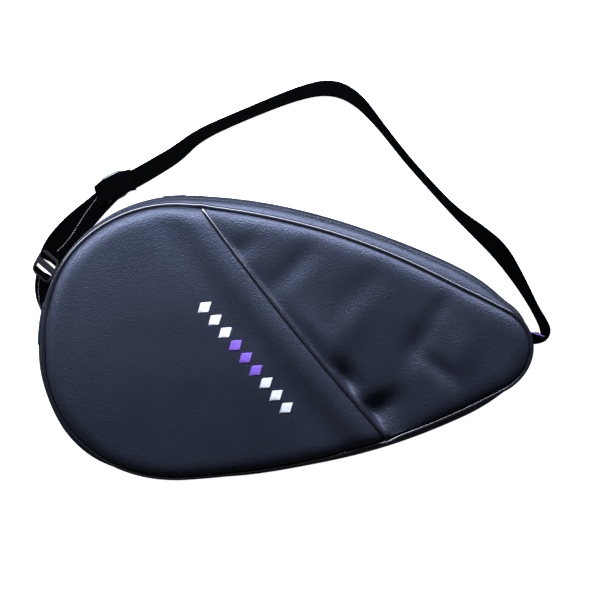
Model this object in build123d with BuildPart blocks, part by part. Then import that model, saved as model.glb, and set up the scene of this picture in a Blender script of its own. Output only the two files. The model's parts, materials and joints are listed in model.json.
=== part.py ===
from build123d import *
import os
from math import asin, atan2, cos, degrees, hypot, radians, sin, sqrt, tan

# Padded teardrop case for a paddle, lying on its back, with its shoulder strap spread beside it.
# Millimetres.  +X runs to the narrow tip, +Y to the zipper side, +Z up out of the front panel.

# ---- driving dimensions ------------------------------------------------------------------------
CASE_LENGTH = 470.0        # seam line, wide end to tip
HEAD_RADIUS = 134.0        # seam line round the wide end
TIP_RADIUS = 44.0          # seam line round the tip
SIDE_RADIUS = 688.0        # seam line along both long sides

BACK_SEAM_Z = 6.0          # centre of the back piping
FRONT_SEAM_Z = 56.0        # centre of the front piping
HEAD_PANEL_TOP = 65.0
TIP_PANEL_TOP = 63.0
PIPING_RADIUS = 2.0
SKIN = 1.4                 # faux leather with its backing
RIM_GAP = 2.3              # seam line to the edge of a panel's wall
PANEL_ROUND = 6.0

GUSSET_BULGE = 10.0        # how far the side band swells past the seam line
GUSSET_SKIN = 2.0
ZIP_HEIGHT_ANGLE = -20.0   # where the zipper runs on the swollen band, below its crest
COIL_HALF_WIDTH = 3.0
TAPE_WIDTH = 11.0
ZIP_WINDOW = 4.6           # zipper's middle line to the leather's edge
ZIP_GAP = 0.25             # middle line to each coil
ZIP_TIP_END = 12.0         # degrees round the tip where the zipper ends
ZIP_HEAD_END = 168.0       # degrees round the head where the zipper ends
GUSSET_JOIN_GAP = 0.4      # degrees between the two bands' ends

FOAM_THICKNESS = 3.0
LINING_THICKNESS = 0.8

WEBBING_WIDTH = 25.0
WEBBING_THICKNESS = 1.8
STRAP_TILT = 57.0          # the webbing leans with its upper edge towards the case
STRAP_HEIGHT = 13.6        # middle of the webbing above the table
LAYER_PITCH = 4.8          # between the two layers where the webbing is doubled

BUCKLE_LENGTH = 26.0
BUCKLE_WIDTH = 33.0
BUCKLE_THICKNESS = 2.4
BUCKLE_BAR = 4.0
SLOT_WIDTH = 27.0
TURN_CLEARANCE = 0.3

SLIDER_LENGTH = 12.0
SLIDER_WIDTH = 9.0
SLIDER_PLATE = 1.6
SLIDER_CLEARANCE = 0.7     # under the plate, so both rows of the coil pass freely
CROWN_LENGTH = 7.0
CROWN_WIDTH = 2.4
CROWN_HEIGHT = 2.6
PULL_LENGTH = 24.0
PULL_WIDTH = 6.0
PULL_THICKNESS = 1.2
PULL_PIN = 1.4

# ---- the outline: four tangent arcs ------------------------------------------------------------
HEAD_CENTRE = (HEAD_RADIUS - CASE_LENGTH / 2, 0.0)
TIP_CENTRE = (CASE_LENGTH / 2 - TIP_RADIUS, 0.0)
SPAN = TIP_CENTRE[0] - HEAD_CENTRE[0]
HEAD_LINK = SIDE_RADIUS - HEAD_RADIUS
TIP_LINK = SIDE_RADIUS - TIP_RADIUS
SIDE_SHIFT = (HEAD_LINK**2 - TIP_LINK**2 + SPAN**2) / (2 * SPAN)
SIDE_DROP = sqrt(HEAD_LINK**2 - SIDE_SHIFT**2)
UPPER_CENTRE = (HEAD_CENTRE[0] + SIDE_SHIFT, -SIDE_DROP)
LOWER_CENTRE = (HEAD_CENTRE[0] + SIDE_SHIFT, SIDE_DROP)
HEAD_TANGENT = degrees(atan2(SIDE_DROP, -SIDE_SHIFT))
TIP_TANGENT = degrees(atan2(SIDE_DROP, SPAN - SIDE_SHIFT))
SIDE_TURN = HEAD_TANGENT - TIP_TANGENT

# Stretches of the rim: centre, radius, start angle, turn.
WHOLE_RIM = [
    (TIP_CENTRE, TIP_RADIUS, -TIP_TANGENT, 2 * TIP_TANGENT),
    (UPPER_CENTRE, SIDE_RADIUS, TIP_TANGENT, SIDE_TURN),
    (HEAD_CENTRE, HEAD_RADIUS, HEAD_TANGENT, 360 - 2 * HEAD_TANGENT),
    (LOWER_CENTRE, SIDE_RADIUS, -HEAD_TANGENT, SIDE_TURN),
]
ZIP_RIM = [
    (TIP_CENTRE, TIP_RADIUS, ZIP_TIP_END, TIP_TANGENT - ZIP_TIP_END),
    (UPPER_CENTRE, SIDE_RADIUS, TIP_TANGENT, SIDE_TURN),
    (HEAD_CENTRE, HEAD_RADIUS, HEAD_TANGENT, ZIP_HEAD_END - HEAD_TANGENT),
]
PLAIN_HEAD_START = ZIP_HEAD_END + GUSSET_JOIN_GAP
PLAIN_TIP_END = ZIP_TIP_END - 3 * GUSSET_JOIN_GAP
PLAIN_RIM = [
    (HEAD_CENTRE, HEAD_RADIUS, PLAIN_HEAD_START, 360 - HEAD_TANGENT - PLAIN_HEAD_START),
    (LOWER_CENTRE, SIDE_RADIUS, -HEAD_TANGENT, SIDE_TURN),
    (TIP_CENTRE, TIP_RADIUS, -TIP_TANGENT, TIP_TANGENT + PLAIN_TIP_END),
]

# ---- the side band's section: an arc between the two pipings -------------------------------------
MID_Z = (BACK_SEAM_Z + FRONT_SEAM_Z) / 2
BAND_REACH = (FRONT_SEAM_Z - BACK_SEAM_Z) / 2 - PIPING_RADIUS - TURN_CLEARANCE
BAND_RADIUS = (BAND_REACH**2 + GUSSET_BULGE**2) / (2 * GUSSET_BULGE)
BAND_CENTRE_U = GUSSET_BULGE - BAND_RADIUS
BAND_HALF_ANGLE = degrees(asin(BAND_REACH / BAND_RADIUS))


def band_angle(length):
    """Degrees of the band's section that a length along it takes."""
    return degrees(length / BAND_RADIUS)


ZIP_LOW_EDGE = ZIP_HEIGHT_ANGLE - band_angle(ZIP_WINDOW)
ZIP_HIGH_EDGE = ZIP_HEIGHT_ANGLE + band_angle(ZIP_WINDOW)
COIL_INNER = band_angle(ZIP_GAP)
COIL_OUTER = band_angle(COIL_HALF_WIDTH)
TAPE_OUTER = band_angle(COIL_HALF_WIDTH + TAPE_WIDTH)


def outline(inset):
    """The case's outline in plan, inset from the seam line."""
    with BuildSketch() as shape:
        with BuildLine():
            for centre, radius, start, turn in WHOLE_RIM:
                CenterArc(centre, radius - inset, start, turn)
        make_face()
    return shape.sketch


def band(inner, outer, low, high):
    """A piece of the side band's section, between two radii and two angles."""
    with BuildSketch() as shape:
        with BuildLine():
            outer_arc = CenterArc((BAND_CENTRE_U, MID_Z), outer, low, high - low)
            inner_arc = CenterArc((BAND_CENTRE_U, MID_Z), inner, low, high - low)
            Line(outer_arc @ 0, inner_arc @ 0)
            Line(outer_arc @ 1, inner_arc @ 1)
        make_face()
    return shape.sketch


def cord_section(height):
    """The round section of a rim piping."""
    with BuildSketch() as shape:
        with Locations((0, height)):
            Circle(PIPING_RADIUS)
    return shape.sketch


def run_round(section, stretches):
    """A section carried round arcs of the rim; its x is outwards and its y is up."""
    with BuildPart() as ring:
        for centre, radius, start, turn in stretches:
            outwards = Vector(cos(radians(start)), sin(radians(start)), 0)
            origin = Vector(centre[0], centre[1], 0) + outwards * radius
            face_plane = Plane(origin=origin, x_dir=outwards, z_dir=outwards.cross(Vector(0, 0, 1)))
            with BuildSketch(face_plane):
                add(section)
            revolve(axis=Axis((centre[0], centre[1], 0), (0, 0, 1)), revolution_arc=turn)
    return ring.part


def rounded_block(inset, low, high, rounding, upwards):
    """The outline as a block with one rounded face, up or down."""
    with BuildPart() as block:
        with BuildSketch(Plane.XY.offset(low)):
            add(outline(inset))
        extrude(amount=high - low)
        group = block.edges().group_by(Axis.Z)[-1 if upwards else 0]
        fillet(group, rounding)
    return block.part


def plate(inset, low, thickness):
    """A flat sheet of the case's outline."""
    with BuildPart() as sheet:
        with BuildSketch(Plane.XY.offset(low)):
            add(outline(inset))
        extrude(amount=thickness)
    return sheet.part


def front_shell(top):
    """The front cover before it is cut into its two panels."""
    wall_base = FRONT_SEAM_Z + TURN_CLEARANCE
    with BuildPart() as shell:
        add(rounded_block(RIM_GAP, wall_base, top, PANEL_ROUND, True))
        inner = rounded_block(RIM_GAP + SKIN, wall_base, top - SKIN, PANEL_ROUND - SKIN, True)
        add(inner, mode=Mode.SUBTRACT)
    return shell.part


os.makedirs("parts", exist_ok=True)


# ---- back shell --------------------------------------------------------------------------------
with BuildPart() as back_panel:
    add(rounded_block(RIM_GAP, 0, BACK_SEAM_Z - TURN_CLEARANCE, PANEL_ROUND - 1, False))
    BACK_HOLLOW = rounded_block(RIM_GAP + SKIN, SKIN, BACK_SEAM_Z, PANEL_ROUND - 1 - SKIN, False)
    add(BACK_HOLLOW, mode=Mode.SUBTRACT)
back_panel.part.label = "back_panel"
export_step(back_panel.part, "parts/back_panel.step")

with BuildPart() as back_rim_piping:
    add(run_round(cord_section(BACK_SEAM_Z), WHOLE_RIM))
back_rim_piping.part.label = "back_rim_piping"
export_step(back_rim_piping.part, "parts/back_rim_piping.step")

with BuildPart() as back_foam:
    add(plate(RIM_GAP + PANEL_ROUND, SKIN + 0.1, FOAM_THICKNESS))
back_foam.part.label = "back_foam"
export_step(back_foam.part, "parts/back_foam.step")

with BuildPart() as back_lining:
    add(plate(RIM_GAP + 2 * SKIN, SKIN + FOAM_THICKNESS + 0.2, LINING_THICKNESS))
back_lining.part.label = "back_lining"
export_step(back_lining.part, "parts/back_lining.step")

# ---- side bands --------------------------------------------------------------------------------
BAND_INNER = BAND_RADIUS - GUSSET_SKIN

with BuildPart() as plain_gusset:
    whole_band = band(BAND_INNER, BAND_RADIUS, -BAND_HALF_ANGLE, BAND_HALF_ANGLE)
    add(run_round(whole_band, PLAIN_RIM))
plain_gusset.part.label = "plain_gusset"
export_step(plain_gusset.part, "parts/plain_gusset.step")

with BuildPart() as back_zip_gusset:
    low_band = band(BAND_INNER, BAND_RADIUS, -BAND_HALF_ANGLE, ZIP_LOW_EDGE)
    add(run_round(low_band, ZIP_RIM))
back_zip_gusset.part.label = "back_zip_gusset"
export_step(back_zip_gusset.part, "parts/back_zip_gusset.step")

with BuildPart() as front_zip_gusset:
    high_band = band(BAND_INNER, BAND_RADIUS, ZIP_HIGH_EDGE, BAND_HALF_ANGLE)
    add(run_round(high_band, ZIP_RIM))
front_zip_gusset.part.label = "front_zip_gusset"
export_step(front_zip_gusset.part, "parts/front_zip_gusset.step")

# ---- zipper ------------------------------------------------------------------------------------
TAPE_TOP = BAND_INNER - 0.1
TAPE_THICKNESS = 0.8
COIL_TOP = BAND_RADIUS + 0.1

with BuildPart() as back_zip_tape:
    low_tape = band(
        TAPE_TOP - TAPE_THICKNESS, TAPE_TOP, ZIP_HEIGHT_ANGLE - TAPE_OUTER, ZIP_HEIGHT_ANGLE - COIL_INNER
    )
    add(run_round(low_tape, ZIP_RIM))
back_zip_tape.part.label = "back_zip_tape"
export_step(back_zip_tape.part, "parts/back_zip_tape.step")

with BuildPart() as front_zip_tape:
    high_tape = band(
        TAPE_TOP - TAPE_THICKNESS, TAPE_TOP, ZIP_HEIGHT_ANGLE + COIL_INNER, ZIP_HEIGHT_ANGLE + TAPE_OUTER
    )
    add(run_round(high_tape, ZIP_RIM))
front_zip_tape.part.label = "front_zip_tape"
export_step(front_zip_tape.part, "parts/front_zip_tape.step")

with BuildPart() as back_zip_coil:
    low_coil = band(TAPE_TOP + 0.1, COIL_TOP, ZIP_HEIGHT_ANGLE - COIL_OUTER, ZIP_HEIGHT_ANGLE - COIL_INNER)
    add(run_round(low_coil, ZIP_RIM))
back_zip_coil.part.label = "back_zip_coil"
export_step(back_zip_coil.part, "parts/back_zip_coil.step")

with BuildPart() as front_zip_coil:
    high_coil = band(TAPE_TOP + 0.1, COIL_TOP, ZIP_HEIGHT_ANGLE + COIL_INNER, ZIP_HEIGHT_ANGLE + COIL_OUTER)
    add(run_round(high_coil, ZIP_RIM))
front_zip_coil.part.label = "front_zip_coil"
export_step(front_zip_coil.part, "parts/front_zip_coil.step")

# Each end of the zipper is closed by a stop crimped on the lower tape's side.
STOP_HALF = band_angle(COIL_HALF_WIDTH)
STOP_SECTION = band(COIL_TOP + 0.1, COIL_TOP + 1.1, ZIP_HEIGHT_ANGLE - STOP_HALF, ZIP_HEIGHT_ANGLE - COIL_INNER)

with BuildPart() as tip_zip_stop:
    add(run_round(STOP_SECTION, [(TIP_CENTRE, TIP_RADIUS, ZIP_TIP_END + 1, 3)]))
tip_zip_stop.part.label = "tip_zip_stop"
export_step(tip_zip_stop.part, "parts/tip_zip_stop.step")

with BuildPart() as head_zip_stop:
    add(run_round(STOP_SECTION, [(HEAD_CENTRE, HEAD_RADIUS, ZIP_HEAD_END - 2, 1.2)]))
head_zip_stop.part.label = "head_zip_stop"
export_step(head_zip_stop.part, "parts/head_zip_stop.step")


def slider_plane(along):
    """Plane on the zipper where the two sliders meet; x runs along the track, z out of the band."""
    start = radians(HEAD_TANGENT)
    outwards = Vector(cos(start), sin(start), 0)
    forwards = Vector(-sin(start), cos(start), 0) * along
    lean = radians(ZIP_HEIGHT_ANGLE)
    normal = outwards * cos(lean) + Vector(0, 0, sin(lean))
    seat = BAND_CENTRE_U + (COIL_TOP + SLIDER_CLEARANCE) * cos(lean)
    height = MID_Z + (COIL_TOP + SLIDER_CLEARANCE) * sin(lean)
    origin = Vector(HEAD_CENTRE[0], HEAD_CENTRE[1], height) + outwards * (HEAD_RADIUS + seat)
    origin = origin + forwards * (SLIDER_LENGTH / 2 + 0.5)
    return Plane(origin=origin, x_dir=forwards, z_dir=normal)


def slider(seat):
    """Slider: a plate that rides over the coil, and a crown that holds the pull."""
    with BuildPart() as body:
        with BuildSketch(seat):
            with BuildLine():
                Polyline(
                    (-SLIDER_LENGTH / 2, -SLIDER_WIDTH / 2),
                    (SLIDER_LENGTH / 4, -SLIDER_WIDTH / 2),
                    (SLIDER_LENGTH / 2, -SLIDER_WIDTH / 3),
                    (SLIDER_LENGTH / 2, SLIDER_WIDTH / 3),
                    (SLIDER_LENGTH / 4, SLIDER_WIDTH / 2),
                    (-SLIDER_LENGTH / 2, SLIDER_WIDTH / 2),
                    close=True,
                )
            make_face()
            fillet(vertices(), 1.2)
        extrude(amount=SLIDER_PLATE)
        crown_side = Plane(
            origin=seat.origin + seat.z_dir * SLIDER_PLATE - seat.y_dir * CROWN_WIDTH / 2,
            x_dir=seat.x_dir,
            z_dir=-seat.y_dir,
        )
        with BuildSketch(crown_side):
            with BuildLine():
                Polyline((-CROWN_LENGTH / 2, 0), (CROWN_LENGTH / 2, 0), (CROWN_LENGTH / 3, CROWN_HEIGHT),
                         (-CROWN_LENGTH / 3, CROWN_HEIGHT), close=True)
            make_face()
            with Locations((0, CROWN_HEIGHT / 2)):
                Circle(PULL_PIN / 2 + 0.35, mode=Mode.SUBTRACT)
        extrude(amount=-CROWN_WIDTH)
    return body.part


def pull(seat):
    """Pull tab: a flat tongue whose eye straddles the crown on a cross pin."""
    pin_height = SLIDER_PLATE + CROWN_HEIGHT / 2
    base = Plane(
        origin=seat.origin + seat.z_dir * (pin_height - PULL_THICKNESS / 2), x_dir=seat.x_dir, z_dir=seat.z_dir
    )
    eye_length = CROWN_LENGTH / 2 + 1.6
    with BuildPart() as tongue:
        with BuildSketch(base):
            with Locations((PULL_LENGTH / 2 - PULL_PIN / 2, 0)):
                RectangleRounded(PULL_LENGTH, PULL_WIDTH, 1.0)
            with Locations((PULL_PIN / 2 + eye_length / 2, 0)):
                Rectangle(eye_length, CROWN_WIDTH + 0.7, mode=Mode.SUBTRACT)
            with Locations((PULL_LENGTH - 4, 0)):
                SlotOverall(4, 1.6, rotation=90, mode=Mode.SUBTRACT)
        extrude(amount=PULL_THICKNESS)
    return tongue.part


HEAD_SEAT = slider_plane(1)
SIDE_SEAT = slider_plane(-1)

with BuildPart() as head_slider:
    add(slider(HEAD_SEAT))
head_slider.part.label = "head_slider"
export_step(head_slider.part, "parts/head_slider.step")

with BuildPart() as head_pull:
    add(pull(HEAD_SEAT))
head_pull.part.label = "head_pull"
export_step(head_pull.part, "parts/head_pull.step")

with BuildPart() as side_slider:
    add(slider(SIDE_SEAT))
side_slider.part.label = "side_slider"
export_step(side_slider.part, "parts/side_slider.step")

with BuildPart() as side_pull:
    add(pull(SIDE_SEAT))
side_pull.part.label = "side_pull"
export_step(side_pull.part, "parts/side_pull.step")

# ---- front shell -------------------------------------------------------------------------------
with BuildPart() as front_rim_piping:
    add(run_round(cord_section(FRONT_SEAM_Z), WHOLE_RIM))
front_rim_piping.part.label = "front_rim_piping"
export_step(front_rim_piping.part, "parts/front_rim_piping.step")

# The diagonal seam divides the front into the head panel and the tip panel.
SEAM_UPPER = Vector(-79.0, 131.5, 0)
SEAM_LOWER = Vector(101.5, -88.0, 0)
SEAM_DIRECTION = (SEAM_LOWER - SEAM_UPPER).normalized()
SEAM_NORMAL = Vector(SEAM_DIRECTION.Y, -SEAM_DIRECTION.X, 0)     # towards the wide end
SEAM_HALF_SLOT = PIPING_RADIUS + 0.2
HEAD_CUT = Plane(origin=SEAM_UPPER + SEAM_NORMAL * SEAM_HALF_SLOT, x_dir=SEAM_DIRECTION, z_dir=SEAM_NORMAL)
TIP_CUT = Plane(origin=SEAM_UPPER - SEAM_NORMAL * SEAM_HALF_SLOT, x_dir=SEAM_DIRECTION, z_dir=-SEAM_NORMAL)

with BuildPart() as front_head_panel:
    add(front_shell(HEAD_PANEL_TOP))
    split(bisect_by=HEAD_CUT, keep=Keep.TOP)
front_head_panel.part.label = "front_head_panel"
export_step(front_head_panel.part, "parts/front_head_panel.step")

with BuildPart() as front_tip_panel:
    add(front_shell(TIP_PANEL_TOP))
    split(bisect_by=TIP_CUT, keep=Keep.TOP)
front_tip_panel.part.label = "front_tip_panel"
export_step(front_tip_panel.part, "parts/front_tip_panel.step")

SEAM_LENGTH = (SEAM_LOWER - SEAM_UPPER).length
SEAM_START = 1.0                                                 # clear of the rim piping
PIPING_TOP_Z = TIP_PANEL_TOP - PIPING_RADIUS / 2
PIPING_FOOT_Z = FRONT_SEAM_Z + 2 * PIPING_RADIUS

with BuildPart() as diagonal_piping:
    seam_plane = Plane(origin=SEAM_UPPER, x_dir=SEAM_DIRECTION, z_dir=SEAM_DIRECTION.cross(Vector(0, 0, 1)))
    with BuildLine(seam_plane) as seam_path:
        FilletPolyline(
            (SEAM_START + 2, PIPING_FOOT_Z),
            (SEAM_START + 6, PIPING_TOP_Z),
            (SEAM_LENGTH - SEAM_START - 6, PIPING_TOP_Z),
            (SEAM_LENGTH - SEAM_START - 2, PIPING_FOOT_Z),
            radius=3.0,
        )
    with BuildSketch(Plane(origin=seam_path.line @ 0, z_dir=seam_path.line % 0)):
        Circle(PIPING_RADIUS)
    sweep(path=seam_path.line)
diagonal_piping.part.label = "diagonal_piping"
export_step(diagonal_piping.part, "parts/diagonal_piping.step")

FRONT_FOAM_THICKNESS = 1.8
FRONT_FOAM_Z = PIPING_TOP_Z - PIPING_RADIUS - 0.7 - FRONT_FOAM_THICKNESS

with BuildPart() as front_foam:
    add(plate(RIM_GAP + PANEL_ROUND + 2 * PIPING_RADIUS, FRONT_FOAM_Z, FRONT_FOAM_THICKNESS))
front_foam.part.label = "front_foam"
export_step(front_foam.part, "parts/front_foam.step")

with BuildPart() as front_lining:
    add(plate(RIM_GAP + 2 * SKIN, FRONT_FOAM_Z - 0.2 - LINING_THICKNESS, LINING_THICKNESS))
front_lining.part.label = "front_lining"
export_step(front_lining.part, "parts/front_lining.step")

# A row of satin-stitched lozenges beside the diagonal seam: white, purple, white.
MOTIF_PITCH = 15.6
MOTIF_HALF_WIDTH = 5.8
MOTIF_HALF_HEIGHT = 8.5
MOTIF_THREAD = 0.7         # height of the stitching
MOTIF_OFFSET = 57.0        # from the seam
MOTIF_ALONG = 138.0        # from the seam's upper end to the row's middle
ROW_PLANE = Plane(
    origin=SEAM_UPPER + SEAM_DIRECTION * MOTIF_ALONG + SEAM_NORMAL * MOTIF_OFFSET
    + Vector(0, 0, HEAD_PANEL_TOP + 0.05),
    x_dir=SEAM_DIRECTION,
    z_dir=(0, 0, 1),
)


def lozenges(places):
    """Raised lozenges at whole places along the row, counted from its middle."""
    with BuildPart() as stitching:
        with BuildSketch(ROW_PLANE):
            with Locations(*[(place * MOTIF_PITCH, 0) for place in places]):
                Polygon((-MOTIF_HALF_WIDTH, 0), (0, -MOTIF_HALF_HEIGHT), (MOTIF_HALF_WIDTH, 0),
                        (0, MOTIF_HALF_HEIGHT))
        extrude(amount=MOTIF_THREAD)
    return stitching.part


with BuildPart() as white_motif:
    add(lozenges([-4, -3, -2, 2, 3, 4]))
white_motif.part.label = "white_motif"
export_step(white_motif.part, "parts/white_motif.step")

with BuildPart() as purple_motif:
    add(lozenges([-1, 0, 1]))
purple_motif.part.label = "purple_motif"
export_step(purple_motif.part, "parts/purple_motif.step")

# ---- strap hardware and webbing ------------------------------------------------------------------
# The route of the webbing's middle line in plan, from the tip, over the arch, to the loop buckle.
STRAP_ROUTE = [
    (247.5, -9.5),
    (262.0, -3.0),
    (254.0, 17.5),
    (231.0, 57.5),
    (194.0, 103.0),
    (151.0, 138.5),
    (112.0, 181.0),
    (76.0, 226.0),
    (42.0, 250.0),
    (-8.0, 231.4),
    (-196.0, 131.5),
    (-236.3, 74.3),
]
ARC_SHARE = 0.45
LOOP_ARC_RADIUS = 60.0     # keeps the adjuster's stretch straight


def turn_at(before, corner, after):
    """Degrees that a route turns at a corner."""
    run_in = Vector(corner[0] - before[0], corner[1] - before[1], 0)
    run_out = Vector(after[0] - corner[0], after[1] - corner[1], 0)
    return run_in.get_angle(run_out)


def route_radii(route):
    """As large an arc at each corner as its two runs allow."""
    radii = []
    for before, corner, after in zip(route, route[1:], route[2:]):
        shorter = min(hypot(corner[0] - before[0], corner[1] - before[1]),
                      hypot(after[0] - corner[0], after[1] - corner[1]))
        radii.append(ARC_SHARE * shorter / tan(radians(turn_at(before, corner, after) / 2)))
    return radii


STRAP_RADII = route_radii(STRAP_ROUTE)
STRAP_RADII[-1] = min(STRAP_RADII[-1], LOOP_ARC_RADIUS)


def leaning_plane(point, direction):
    """Plane across a route: x is level, towards the case, and y is up."""
    return Plane(origin=(point[0], point[1], STRAP_HEIGHT), x_dir=Vector(0, 0, 1).cross(direction),
                 z_dir=direction)


def leaning_ribbon(route, radii, layer):
    """Webbing that leans along a level route, lifted off it by a number of layers."""
    with BuildPart() as ribbon:
        with BuildLine(Plane.XY.offset(STRAP_HEIGHT)) as path:
            FilletPolyline(*route, radius=radii)
        start = path.line @ 0
        with BuildSketch(leaning_plane((start.X, start.Y), path.line % 0)):
            with Locations((-layer * LAYER_PITCH * sin(radians(STRAP_TILT)),
                            layer * LAYER_PITCH * cos(radians(STRAP_TILT)))):
                Rectangle(WEBBING_WIDTH, WEBBING_THICKNESS, rotation=STRAP_TILT)
        sweep(path=path.line)
    return ribbon.part


def hardware_plane(point, direction):
    """Plane of a piece of hardware on the webbing: x along the strap, y up its slope."""
    sideways = Vector(0, 0, 1).cross(direction)
    lean = radians(STRAP_TILT)
    slope = sideways * cos(lean) + Vector(0, 0, sin(lean))
    return Plane(origin=(point[0], point[1], STRAP_HEIGHT), x_dir=direction, z_dir=direction.cross(slope))


def webbing_turn(plane):
    """The half turn of webbing round a bar, at x = 0 of a hardware plane and open towards -x."""
    middle = LAYER_PITCH / 2
    inner = middle - WEBBING_THICKNESS / 2
    side = Plane(origin=plane.origin - plane.y_dir * WEBBING_WIDTH / 2, x_dir=plane.x_dir, z_dir=plane.y_dir)
    with BuildPart() as turn:
        with BuildSketch(side):
            with Locations((0, -middle)):
                Circle(inner + WEBBING_THICKNESS)
                Circle(inner, mode=Mode.SUBTRACT)
            with Locations((-LAYER_PITCH, -middle)):
                Rectangle(2 * LAYER_PITCH, 3 * LAYER_PITCH, mode=Mode.SUBTRACT)
        extrude(amount=WEBBING_WIDTH)
    return turn.part


def two_slot_frame(plane, end_bar):
    """A moulded frame with two slots and a middle bar, on a hardware plane."""
    slot = (BUCKLE_LENGTH - 2 * end_bar - BUCKLE_BAR) / 2
    lift = LAYER_PITCH / 2 - BUCKLE_THICKNESS / 2
    with BuildPart() as frame:
        with BuildSketch(plane.offset(lift)):
            RectangleRounded(BUCKLE_LENGTH, BUCKLE_WIDTH, 3.0)
            with Locations((-(BUCKLE_BAR + slot) / 2, 0), ((BUCKLE_BAR + slot) / 2, 0)):
                RectangleRounded(slot, SLOT_WIDTH, 0.8, mode=Mode.SUBTRACT)
        extrude(amount=BUCKLE_THICKNESS)
        rims = frame.edges().filter_by(Axis(plane.origin, plane.y_dir)).sort_by(SortBy.LENGTH)[-4:]
        fillet(rims, 0.6)
    return frame.part


ROUTE_END = Vector(*STRAP_ROUTE[-1], 0)
LOOP_CORNER = Vector(*STRAP_ROUTE[-2], 0)
LOOP_DIRECTION = (ROUTE_END - LOOP_CORNER).normalized()
STRAIGHT_DIRECTION = (Vector(*STRAP_ROUTE[-3], 0) - LOOP_CORNER).normalized()
BUCKLE_CENTRE = ROUTE_END + LOOP_DIRECTION * (BUCKLE_LENGTH / 2 - BUCKLE_BAR)
ADJUSTER_CENTRE = LOOP_CORNER + STRAIGHT_DIRECTION * 31.0
TAIL_START = ADJUSTER_CENTRE + STRAIGHT_DIRECTION * 7.0

with BuildPart() as shoulder_strap:
    strap_ribbon = leaning_ribbon(STRAP_ROUTE, STRAP_RADII, 0)
    add(strap_ribbon)
shoulder_strap.part.label = "shoulder_strap"
export_step(shoulder_strap.part, "parts/shoulder_strap.step")

with BuildPart() as strap_tail:
    tail_route = [(TAIL_START.X, TAIL_START.Y), STRAP_ROUTE[-2], STRAP_ROUTE[-1]]
    tail_ribbon = leaning_ribbon(tail_route, [LOOP_ARC_RADIUS], 1)
    add(tail_ribbon)
    add(webbing_turn(hardware_plane(STRAP_ROUTE[-1], LOOP_DIRECTION)))
strap_tail.part.label = "strap_tail"
export_step(strap_tail.part, "parts/strap_tail.step")

BUCKLE_PLANE = hardware_plane((BUCKLE_CENTRE.X, BUCKLE_CENTRE.Y), LOOP_DIRECTION)
with BuildPart() as loop_buckle:
    add(two_slot_frame(BUCKLE_PLANE, BUCKLE_BAR))
loop_buckle.part.label = "loop_buckle"
export_step(loop_buckle.part, "parts/loop_buckle.step")

ADJUSTER_PLANE = hardware_plane((ADJUSTER_CENTRE.X, ADJUSTER_CENTRE.Y), -STRAIGHT_DIRECTION)
with BuildPart() as tri_glide:
    add(two_slot_frame(ADJUSTER_PLANE, BUCKLE_BAR))
tri_glide.part.label = "tri_glide"
export_step(tri_glide.part, "parts/tri_glide.step")

# ---- tab, anchors and patches ----------------------------------------------------------------------
TAB_END = BUCKLE_CENTRE + LOOP_DIRECTION * (BUCKLE_LENGTH / 2 - BUCKLE_BAR)
TAB_BEND = TAB_END + LOOP_DIRECTION * 9.0
TAB_ROOT = (-252.0, 36.0)
TAB_ROUTE = [(TAB_END.X, TAB_END.Y), (TAB_BEND.X, TAB_BEND.Y), TAB_ROOT]

with BuildPart() as head_tab:
    for layer in (0, 1):
        tab_ribbon = leaning_ribbon(TAB_ROUTE, route_radii(TAB_ROUTE), layer)
        add(tab_ribbon)
    tab_plane = hardware_plane(TAB_ROUTE[0], LOOP_DIRECTION)
    add(webbing_turn(Plane(origin=tab_plane.origin, x_dir=-tab_plane.x_dir, z_dir=tab_plane.z_dir)))
head_tab.part.label = "head_tab"
export_step(head_tab.part, "parts/head_tab.step")


def upright_section(inner, outer, low, high):
    """An upright rectangle outside the side band's crest."""
    with BuildSketch() as shape:
        with Locations(((inner + outer) / 2, (low + high) / 2)):
            Rectangle(outer - inner, high - low)
    return shape.sketch


ANCHOR_THICKNESS = 4.0
ANCHOR_FOOT = GUSSET_BULGE + 0.2
ANCHOR_LOW = MID_Z - WEBBING_WIDTH / 2
ANCHOR_HIGH = MID_Z + WEBBING_WIDTH / 2
anchor_section = upright_section(ANCHOR_FOOT, ANCHOR_FOOT + ANCHOR_THICKNESS, ANCHOR_LOW, ANCHOR_HIGH)

with BuildPart() as head_anchor:
    add(run_round(anchor_section, [(HEAD_CENTRE, HEAD_RADIUS, 168.6, 4)]))
head_anchor.part.label = "head_anchor"
export_step(head_anchor.part, "parts/head_anchor.step")

with BuildPart() as tip_anchor:
    add(run_round(anchor_section, [(TIP_CENTRE, TIP_RADIUS, -18, 8)]))
tip_anchor.part.label = "tip_anchor"
export_step(tip_anchor.part, "parts/tip_anchor.step")

patch_section = band(BAND_RADIUS + 0.1, BAND_RADIUS + SKIN, -30, 30)

with BuildPart() as head_patch:
    add(run_round(patch_section, [(HEAD_CENTRE, HEAD_RADIUS, 173, 9)]))
head_patch.part.label = "head_patch"
export_step(head_patch.part, "parts/head_patch.step")

with BuildPart() as tip_patch:
    add(run_round(patch_section, [(TIP_CENTRE, TIP_RADIUS, -36, 17)]))
tip_patch.part.label = "tip_patch"
export_step(tip_patch.part, "parts/tip_patch.step")

with BuildPart() as tip_bartack:
    add(run_round(band(BAND_RADIUS + 0.1, BAND_RADIUS + 0.8, 2, 6), [(TIP_CENTRE, TIP_RADIUS, -5, 12)]))
tip_bartack.part.label = "tip_bartack"
export_step(tip_bartack.part, "parts/tip_bartack.step")
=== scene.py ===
import json
import math
import random
import bpy
import bmesh
import numpy as np
from mathutils import Matrix, Vector
from mathutils.bvhtree import BVHTree

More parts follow.
